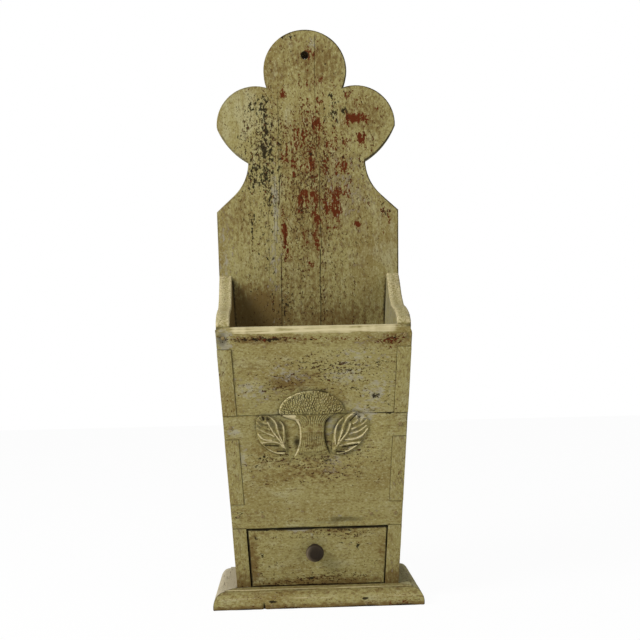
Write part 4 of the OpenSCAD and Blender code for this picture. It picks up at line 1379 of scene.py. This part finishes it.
class SALTBOX_OT_drawer(bpy.types.Operator):
    """Drawer box: painted front, bare sides, back and bottom"""

    bl_idname = "salt_box.drawer"
    bl_label = "Drawer"

    def execute(self, context):
        size = sizes()
        front_low, front_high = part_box("drawer_front")
        side_low, side_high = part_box("drawer_right_side")
        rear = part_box("drawer_back")
        low, top = front_low.z - BASE_H, front_high.z - BASE_H
        side_bottom, side_top = side_low.z - BASE_H, side_high.z - BASE_H
        side_t = rear[1].y - rear[0].y
        side_inset = (BOX_W / 2 + top * math.tan(SPLAY) - front_high.x) * math.cos(SPLAY)
        front_t = (front_high.y - front_y(side_bottom, 0)) * math.cos(LEAN)

        def trapeze(inset_by, from_h, to_h):
            low_half, high_half = half_width(from_h, inset_by), half_width(to_h, inset_by)
            return np.array([(-low_half, from_h), (low_half, from_h), (high_half, to_h), (-high_half, to_h)])

        def worn_easing(points):
            radius = np.full(len(points), 0.7 * size.arris_round)
            dark = np.where((points[:, 1] > top - 1 * MM) | (points[:, 0] < 0), 0.95, 0.6)
            dark *= 0.85 + 0.3 * noise(points, 6 * MM, 98)
            return radius, 0.5 * radius, np.full(len(points), 0.1), dark

        def plain_easing(points):
            radius = np.full(len(points), 2 * size.joint_round)
            return radius, radius, np.zeros(len(points)), np.full(len(points), 0.3)

        def front_place(across, up, into):
            return stacked(across, front_y(up, into), BASE_H + up)

        def marks(across, up, depth):
            return marked(across, up, (), DRAWER_BLACK, DRAWER_STAIN, DRAWER_GREY, DRAWER_FLECK)

        board(
            "drawer_front", [densify(trapeze(side_inset, low, top), 2 * MM)], front_t, front_place,
            worn_easing, [finish("paint_across"), finish("pine_across")], [(1.8 * MM, None)], marks=marks,
            body="drawer", seed=140,
        )
        for name, hand in (("drawer_left_side", -1), ("drawer_right_side", 1)):
            outline = np.array([
                (front_y(side_bottom, front_t), side_bottom), (rear[1].y, side_bottom),
                (rear[1].y, side_top), (front_y(side_top, front_t), side_top),
            ])

            def side_place(across, up, into, hand=hand):
                return stacked(hand * half_width(up, side_inset + into), across, BASE_H + up)

            board(
                name, [densify(outline, 3 * MM)], side_t, side_place, plain_easing, [finish("pine_inwards")],
                [(3.5 * MM, None)], body="drawer", seed=150 + hand,
            )
        board(
            "drawer_back", [densify(trapeze(side_inset + side_t, side_bottom, side_top), 3 * MM)], side_t,
            lambda across, up, into: stacked(across, rear[0].y + into, BASE_H + up), plain_easing,
            [finish("pine_across")], [(3.5 * MM, None)], body="drawer", seed=160,
        )
        half = half_width(low, side_inset)
        front_edge = front_y(low, front_t)
        plan = np.array([(-half, front_edge), (half, front_edge), (half, rear[1].y), (-half, rear[1].y)])
        bottom_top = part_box("drawer_bottom")[1].z
        board(
            "drawer_bottom", [densify(plan, 3 * MM)], bottom_top - BASE_H - low,
            lambda across, up, into: stacked(across, up, bottom_top - into), plain_easing,
            [finish("pine_across")], [(4 * MM, None)], body="drawer", seed=170,
        )
        return {"FINISHED"}


class SALTBOX_OT_knob(bpy.types.Operator):
    """Turned knob on the drawer, with its flat, handled face"""

    bl_idname = "salt_box.knob"
    bl_label = "Knob"

    def execute(self, context):
        half = sizes().knob_width / 2
        middle_up, reach = sizes().knob_up, 13.5 * MM
        x = (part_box("drawer_knob")[0].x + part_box("drawer_knob")[1].x) / 2
        seat = Vector((x, front_y(middle_up, 0), BASE_H + middle_up))
        out = Vector((0, -math.cos(LEAN), -math.sin(LEAN)))
        up = Vector((0, -math.sin(LEAN), math.cos(LEAN)))
        across = Vector((1, 0, 0))
        # Profile from the hidden tenon to the middle of the face, in millimetres: radii of the tenon and
        # neck, then how much less than the knob's radius those of the rim are, each with its distance out
        neck = [(4, -8), (4, -0.5), (6.6, -0.5), (5.6, 1.2), (5.6, 3), (6.8, 5)]
        rim = [(0.7, 6.4), (0.1, 7.6), (0, 8.8), (0.3, 10), (1.1, 11), (2.2, 11.5)]
        profile = [(radius * MM, far * MM) for radius, far in neck]
        profile += [(half - less * MM, far * MM) for less, far in rim]
        profile += [(0.5 * half, reach - 1 * MM), (0.25 * half, reach - 0.75 * MM)]
        turns = 48
        points, worn = [], []
        for radius, far in profile:
            for i in range(turns):
                angle = 2 * math.pi * i / turns
                points.append(seat + out * far + (across * math.cos(angle) + up * math.sin(angle)) * radius)
                # The rim is worn a little paler all round, and painted much paler on its lower left as a
                # highlight
                highlight_lower_left = max(0.0, math.cos(angle - math.radians(205)))
                on_rim = max(0.0, 1 - abs(far - 10.6 * MM) / (1.3 * MM)) if far > 8 * MM else 0.0
                worn.append(on_rim * (0.08 + 0.85 * highlight_lower_left))
        tip = len(points)
        points += [seat + out * (reach - 0.7 * MM), seat + out * profile[0][1]]
        worn += [0.0, 0.0]
        faces = []
        for k in range(len(profile) - 1):
            for i in range(turns):
                j = (i + 1) % turns
                faces.append((k * turns + i, k * turns + j, (k + 1) * turns + j, (k + 1) * turns + i))
        last = (len(profile) - 1) * turns
        faces += [(last + i, last + (i + 1) % turns, tip) for i in range(turns)]
        faces += [((i + 1) % turns, i, tip + 1) for i in range(turns)]
        knob = new_piece("drawer_knob", points, faces, [finish("knob")], {"worn": worn}, 50)
        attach(knob, "drawer")
        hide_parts("drawer_knob")
        return {"FINISHED"}


# Nodes that set out what repeats


def new_tree(name, inputs):
    """A geometry tree with its named inputs: the tree, its input node and the inputs' identifiers."""
    tree = bpy.data.node_groups.new(name, "GeometryNodeTree")
    tree.interface.new_socket("Geometry", in_out="INPUT", socket_type="NodeSocketGeometry")
    keys = {}
    for label, kind in inputs.items():
        socket = tree.interface.new_socket(label, in_out="INPUT", socket_type="NodeSocket" + kind)
        keys[label] = socket.identifier
    tree.interface.new_socket("Geometry", in_out="OUTPUT", socket_type="NodeSocketGeometry")
    return tree, add(tree, "NodeGroupInput"), keys


def set_out(name, source, tree, keys, values):
    """Runs a geometry tree on a source mesh and returns the result as a plain mesh object."""
    holder = bpy.data.objects.new(name + "_source", source)
    bpy.context.scene.collection.objects.link(holder)
    modifier = holder.modifiers.new(name, "NODES")
    modifier.node_group = tree
    for label, value in values.items():
        modifier[keys[label]] = value
    graph = bpy.context.evaluated_depsgraph_get()
    mesh = bpy.data.meshes.new_from_object(holder.evaluated_get(graph))
    holder.modifiers.clear()
    bpy.data.objects.remove(holder)
    if not mesh.polygons:
        raise RuntimeError(f"{name} came out empty")
    piece = bpy.data.objects.new(name + "_looks", mesh)
    bpy.context.scene.collection.objects.link(piece)
    return piece


def nail_tree():
    """Nails at points, each with a hammered head and a tapering square shank, along its own direction."""
    tree, given, keys = new_tree(
        "nails", {"Head": "Float", "Head height": "Float", "Shank": "Float", "Length": "Float", "Seed": "Int",
                  "Material": "Material"}
    )
    half_head = add(tree, "ShaderNodeMath", {0: given.outputs["Head"], 1: 0.5}, operation="MULTIPLY")
    crown = add(tree, "ShaderNodeMath", {0: given.outputs["Head"], 1: 0.3}, operation="MULTIPLY")
    half_shank = add(tree, "ShaderNodeMath", {0: given.outputs["Shank"], 1: 0.5}, operation="MULTIPLY")
    point = add(tree, "ShaderNodeMath", {0: given.outputs["Shank"], 1: 0.18}, operation="MULTIPLY")
    head = add(
        tree, "GeometryNodeMeshCone",
        {"Vertices": 9, "Side Segments": 1, "Radius Top": half_head.outputs[0],
         "Radius Bottom": crown.outputs[0], "Depth": given.outputs["Head height"]},
    )
    # The head's flat underside lies in the wood and its hammered crown stands a little proud
    lift = add(tree, "ShaderNodeMath", {0: given.outputs["Head height"], 1: -0.35}, operation="MULTIPLY")
    raised = add(tree, "ShaderNodeCombineXYZ", {"Z": lift.outputs[0]})
    crowned = add(
        tree, "GeometryNodeTransform", {"Geometry": head.outputs["Mesh"], "Translation": raised.outputs[0]}
    )
    shank = add(
        tree, "GeometryNodeMeshCone",
        {"Vertices": 4, "Side Segments": 1, "Radius Top": point.outputs[0],
         "Radius Bottom": half_shank.outputs[0], "Depth": given.outputs["Length"]},
    )
    nail = add(tree, "GeometryNodeJoinGeometry")
    tree.links.new(crowned.outputs[0], nail.inputs[0])
    tree.links.new(shank.outputs["Mesh"], nail.inputs[0])
    points = add(tree, "GeometryNodeMeshToPoints", {"Mesh": given.outputs["Geometry"]})
    direction = add(tree, "GeometryNodeInputNamedAttribute", {"Name": "direction"}, data_type="FLOAT_VECTOR")
    aim = add(tree, "FunctionNodeAlignRotationToVector", {"Vector": direction.outputs[0]}, axis="Z")
    spin = add(
        tree, "FunctionNodeRandomValue", {2: 0.0, 3: math.tau, "Seed": given.outputs["Seed"]},
        data_type="FLOAT",
    )
    about = add(tree, "ShaderNodeCombineXYZ", {"Z": spin.outputs[1]})
    turned = add(
        tree, "FunctionNodeRotateRotation", {0: aim.outputs[0], 1: about.outputs[0]}, rotation_space="LOCAL"
    )
    grow = add(
        tree, "FunctionNodeRandomValue", {2: 0.85, 3: 1.1, "Seed": given.outputs["Seed"]},
        data_type="FLOAT",
    )
    placed = add(
        tree, "GeometryNodeInstanceOnPoints",
        {"Points": points.outputs[0], "Instance": nail.outputs[0], "Rotation": turned.outputs[0],
         "Scale": grow.outputs[1]},
    )
    real = add(tree, "GeometryNodeRealizeInstances", {"Geometry": placed.outputs[0]})
    coated = add(
        tree, "GeometryNodeSetMaterial",
        {"Geometry": real.outputs[0], "Material": given.outputs["Material"]},
    )
    add(tree, "NodeGroupOutput", {"Geometry": coated.outputs[0]})
    return tree, keys


def nail_places(node):
    """Head middle, direction and length of each nail of a CAD node, in order of place."""
    shape = bmesh.new()
    shape.from_mesh(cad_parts[node].data)
    bmesh.ops.remove_doubles(shape, verts=shape.verts, dist=0.01 * MM)
    left = dict.fromkeys(shape.verts)
    places = []
    while left:
        group = [left.popitem()[0]]
        for vert in group:
            for edge in vert.link_edges:
                other = edge.other_vert(vert)
                if other in left:
                    del left[other]
                    group.append(other)
        points = np.array([vert.co for vert in group])
        middle = points.mean(0)
        line = np.linalg.svd(points - middle)[2][0]
        along = (points - middle) @ line
        width = np.linalg.norm(points - middle - along[:, None] * line, axis=1)
        if along[width.argmax()] > 0:
            line, along = -line, -along
        places.append((middle + line * along.min(), line, along.max() - along.min()))
    shape.free()
    return sorted(places, key=lambda place: tuple(place[0].round(ORDER_DIGITS)))


class SALTBOX_OT_nails(bpy.types.Operator):
    """Forged nails that hold the front, back, base, bottom and drawer"""

    bl_idname = "salt_box.nails"
    bl_label = "Nails"

    def execute(self, context):
        tree, keys = nail_tree()
        groups = {
            "front_nails": "carcase", "back_nails": "carcase", "base_nails": "carcase",
            "bottom_nails": "carcase", "drawer_nails": "drawer",
        }
        for seed, (node, body) in enumerate(groups.items(), 1):
            places = nail_places(node)
            source = bpy.data.meshes.new(node + "_points")
            source.from_pydata([tuple(head) for head, _, _ in places], [], [])
            aims = source.attributes.new("direction", "FLOAT_VECTOR", "POINT")
            aims.data.foreach_set("vector", np.array([line for _, line, _ in places], np.float32).ravel())
            values = {
                "Head": sizes().nail_head, "Head height": 1.0 * MM, "Shank": sizes().nail_shank,
                "Length": float(places[0][2]), "Seed": seed,
                "Material": finish("painted_iron" if node in ("front_nails", "base_nails") else "iron"),
            }
            nails = set_out(node, source, tree, keys, values)
            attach(nails, body)
            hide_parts(node)
        return {"FINISHED"}


def ears_tree():
    """Wheat grains packed over a surface, each laid along a line from where the stalks are bound."""
    tree, given, keys = new_tree(
        "ears", {"Spacing": "Float", "Grain length": "Float", "Grain width": "Float", "Grain height": "Float",
                 "Fan point": "Vector", "Seed": "Int", "Material": "Material"}
    )
    scattered = add(
        tree, "GeometryNodeDistributePointsOnFaces",
        {"Mesh": given.outputs["Geometry"], "Distance Min": given.outputs["Spacing"], "Density Max": 900000.0,
         "Seed": given.outputs["Seed"]},
        distribute_method="POISSON",
    )
    here = add(tree, "GeometryNodeInputPosition")
    outward = add(
        tree, "ShaderNodeVectorMath", {0: here.outputs[0], 1: given.outputs["Fan point"]},
        operation="SUBTRACT",
    )
    fanned = add(
        tree, "FunctionNodeAlignRotationToVector",
        {"Rotation": scattered.outputs["Rotation"], "Vector": outward.outputs[0]}, axis="Y", pivot_axis="Z",
    )
    ball = add(tree, "GeometryNodeMeshUVSphere", {"Segments": 8, "Rings": 5, "Radius": 0.5})
    shape = add(
        tree, "ShaderNodeCombineXYZ",
        {"X": given.outputs["Grain width"], "Y": given.outputs["Grain length"],
         "Z": given.outputs["Grain height"]},
    )
    grain = add(tree, "GeometryNodeTransform", {"Geometry": ball.outputs["Mesh"], "Scale": shape.outputs[0]})
    # Dirt lies low between the grains and their crowns are rubbed
    height = add(tree, "ShaderNodeSeparateXYZ", {0: here.outputs[0]})
    share = add(
        tree, "ShaderNodeMath", {0: height.outputs["Z"], 1: given.outputs["Grain height"]},
        operation="DIVIDE",
    )
    low = add(tree, "ShaderNodeMapRange", {"Value": share.outputs[0], 1: 0.42, 2: 0.0, 3: 0.0, 4: 0.85})
    high = add(tree, "ShaderNodeMapRange", {"Value": share.outputs[0], 1: 0.25, 2: 0.5, 3: 0.0, 4: 0.55})
    for label, shown in (("grime", low), ("worn", high)):
        grain = add(
            tree, "GeometryNodeStoreNamedAttribute",
            {"Geometry": grain.outputs[0], "Name": label, "Value": shown.outputs[0]},
            data_type="FLOAT", domain="POINT",
        )
    grow = add(
        tree, "FunctionNodeRandomValue", {2: 0.8, 3: 1.2, "Seed": given.outputs["Seed"]},
        data_type="FLOAT",
    )
    placed = add(
        tree, "GeometryNodeInstanceOnPoints",
        {"Points": scattered.outputs["Points"], "Instance": grain.outputs[0], "Rotation": fanned.outputs[0],
         "Scale": grow.outputs[1]},
    )
    real = add(tree, "GeometryNodeRealizeInstances", {"Geometry": placed.outputs[0]})
    smooth = add(tree, "GeometryNodeSetShadeSmooth", {"Geometry": real.outputs[0]})
    coated = add(
        tree, "GeometryNodeSetMaterial",
        {"Geometry": smooth.outputs[0], "Material": given.outputs["Material"]},
    )
    add(tree, "NodeGroupOutput", {"Geometry": coated.outputs[0]})
    return tree, keys


class SALTBOX_OT_ears(bpy.types.Operator):
    """Grains carved all over the head of the sheaf"""

    bl_idname = "salt_box.ears"
    bl_label = "Wheat ears"

    def execute(self, context):
        cell = 1.2 * MM
        across = np.arange(-HEAD_HALF_W, HEAD_HALF_W, cell)
        up = np.arange(0.9 * MM, HEAD_TOP + 3 * MM, cell)
        x, y = (part.ravel() for part in np.meshgrid(across, up))
        depth = carving(x + SHEAF_X, y + JOINT_H)[0]
        points = stacked(x + SHEAF_X, front_y(y + JOINT_H, depth), BASE_H + y + JOINT_H)
        inner = head_shape(x, y)[0] > 0.2 * MM
        wide = len(across)
        faces = []
        for row in range(len(up) - 1):
            for i in range(wide - 1):
                corners = (row * wide + i, row * wide + i + 1, (row + 1) * wide + i + 1, (row + 1) * wide + i)
                if inner[list(corners)].all():
                    faces.append(corners)
        source = bpy.data.meshes.new("head_surface")
        source.from_pydata([tuple(p) for p in points], [], faces)
        tree, keys = ears_tree()
        bound = JOINT_H - 22 * MM
        values = {
            "Spacing": 1.85 * MM, "Grain length": sizes().grain_length, "Grain width": sizes().grain_width,
            "Grain height": 2.1 * MM, "Fan point": (SHEAF_X, front_y(bound, 0), BASE_H + bound), "Seed": 11,
            "Material": finish("paint_across"),
        }
        grains = set_out("sheaf_ears", source, tree, keys, values)
        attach(grains, "carcase")
        return {"FINISHED"}


# The camera that the photograph was taken with, worked out from the box's corners in it

CAMERA_AT = (-29.4 * MM, -1021 * MM, 234.4 * MM)
CAMERA_YAW, CAMERA_PITCH, CAMERA_ROLL = 0.0375, -0.0464, -0.0216
SENSOR = 36.0
# Focal length as a share of the picture's width, both in pixels
FOCAL_SHARE = 979.5 / 640
# A large soft window at the upper left and a weaker one from the right: name, place, side and power
LAMPS = (
    ("left window", (-1.35, -0.95, 1.2), 0.8, 35.0),
    ("right fill", (1.4, -1.2, 0.6), 1.2, 9.0),
)
LAMP_TARGET = (0, 0, 0.28)
# Half the floor's width, and how far it lies below the box
FLOOR_REACH, FLOOR_DROP = 3.0, 0.2 * MM
# Share of the floor's white that takes no shadow, and the strength of the room's light on the box
FLOOR_GLOW, ROOM_LIGHT = 0.96, 0.31


def background_rays(tree):
    """1 for rays that meet the white background: those of the camera, of gloss and of glass."""
    path = add(tree, "ShaderNodeLightPath")
    shown = path.outputs["Is Camera Ray"]
    for kind in ("Is Glossy Ray", "Is Transmission Ray"):
        shown = add(tree, "ShaderNodeMath", {0: shown, 1: path.outputs[kind]}, operation="MAXIMUM").outputs[0]
    return shown


class SALTBOX_OT_stage(bpy.types.Operator):
    """Camera, pale floor, soft lamps and white surroundings"""

    bl_idname = "salt_box.stage"
    bl_label = "Stage"

    def execute(self, context):
        scene = context.scene
        lens = bpy.data.cameras.new("camera")
        lens.sensor_fit = "HORIZONTAL"
        lens.sensor_width = SENSOR
        lens.lens = SENSOR * FOCAL_SHARE
        lens.clip_start = 0.02
        camera = bpy.data.objects.new("camera", lens)
        turn = (
            Matrix.Rotation(CAMERA_ROLL, 3, "Y") @ Matrix.Rotation(CAMERA_PITCH, 3, "X")
            @ Matrix.Rotation(CAMERA_YAW, 3, "Z")
        )
        right, forward, up = turn[0], turn[1], turn[2]
        facing = Matrix((right, up, -forward)).transposed().to_4x4()
        camera.matrix_world = Matrix.Translation(CAMERA_AT) @ facing
        scene.collection.objects.link(camera)
        scene.camera = camera

        material, tree, shader, _ = new_finish("matt studio paper")
        shader.inputs["Base Color"].default_value = opaque(colours().floor)
        shader.inputs["Roughness"].default_value = 0.95
        glow = add(tree, "ShaderNodeEmission", {"Color": (1, 1, 1, 1), "Strength": 1.0})
        share = add(tree, "ShaderNodeMath", {0: background_rays(tree), 1: FLOOR_GLOW}, operation="MULTIPLY")
        mixed = add(
            tree, "ShaderNodeMixShader", {0: share.outputs[0], 1: shader.outputs[0], 2: glow.outputs[0]}
        )
        paper = next(node for node in tree.nodes if node.type == "OUTPUT_MATERIAL")
        tree.links.new(mixed.outputs[0], paper.inputs["Surface"])
        mesh = bpy.data.meshes.new("floor")
        square = ((-1, -1), (1, -1), (1, 1), (-1, 1))
        corners = [(x * FLOOR_REACH, y * FLOOR_REACH, -FLOOR_DROP) for x, y in square]
        mesh.from_pydata(corners, [], [(0, 1, 2, 3)])
        mesh.materials.append(material)
        floor = bpy.data.objects.new("floor", mesh)
        scene.collection.objects.link(floor)

        for name, at, size, power in LAMPS:
            lamp = bpy.data.lights.new(name, "AREA")
            lamp.shape = "SQUARE"
            lamp.size = size
            lamp.energy = power
            place = bpy.data.objects.new(name, lamp)
            aim = Vector(LAMP_TARGET) - Vector(at)
            place.matrix_world = Matrix.Translation(at) @ aim.to_track_quat("-Z", "Y").to_matrix().to_4x4()
            scene.collection.objects.link(place)

        world = bpy.data.worlds.new("white room")
        world.use_nodes = True
        tree = world.node_tree
        tree.nodes.clear()
        strength = add(tree, "ShaderNodeMapRange", {"Value": background_rays(tree), 3: ROOM_LIGHT, 4: 1.0})
        sky = add(tree, "ShaderNodeBackground", {"Color": (1, 1, 1, 1), "Strength": strength.outputs[0]})
        add(tree, "ShaderNodeOutputWorld", {"Surface": sky.outputs[0]})
        scene.world = world
        scene.view_settings.view_transform = "Standard"
        return {"FINISHED"}


class SALTBOX_PT_panel(bpy.types.Panel):
    """Lists the pieces of the salt box"""

    bl_label = "Salt box"
    bl_idname = "SALTBOX_PT_panel"
    bl_space_type = "VIEW_3D"
    bl_region_type = "UI"
    bl_category = "Salt box"

    def draw(self, context):
        for operator in OPERATORS:
            self.layout.operator(operator.bl_idname)
        for group in (context.scene.salt_box_sizes, context.scene.salt_box_colours):
            box = self.layout.box()
            for key in group.__annotations__:
                box.prop(group, key)


OPERATORS = (
    SALTBOX_OT_stage,
    SALTBOX_OT_back_board,
    SALTBOX_OT_sides,
    SALTBOX_OT_front_boards,
    SALTBOX_OT_ears,
    SALTBOX_OT_inner_boards,
    SALTBOX_OT_plinth,
    SALTBOX_OT_drawer,
    SALTBOX_OT_knob,
    SALTBOX_OT_nails,
)
CLASSES = (SaltBoxSizes, SaltBoxColours, *OPERATORS, SALTBOX_PT_panel)


def register():
    """Registers the settings, the pieces and the panel."""
    for cls in CLASSES:
        bpy.utils.register_class(cls)
    bpy.types.Scene.salt_box_sizes = bpy.props.PointerProperty(type=SaltBoxSizes)
    bpy.types.Scene.salt_box_colours = bpy.props.PointerProperty(type=SaltBoxColours)


def unregister():
    """Takes the panel, the pieces and the settings away again."""
    del bpy.types.Scene.salt_box_colours
    del bpy.types.Scene.salt_box_sizes
    for cls in reversed(CLASSES):
        bpy.utils.unregister_class(cls)


def main():
    """Registers the settings and builds every piece."""
    register()
    for operator in OPERATORS:
        group, name = operator.bl_idname.split(".")
        getattr(getattr(bpy.ops, group), name)()


if __name__ == "__main__":
    main()
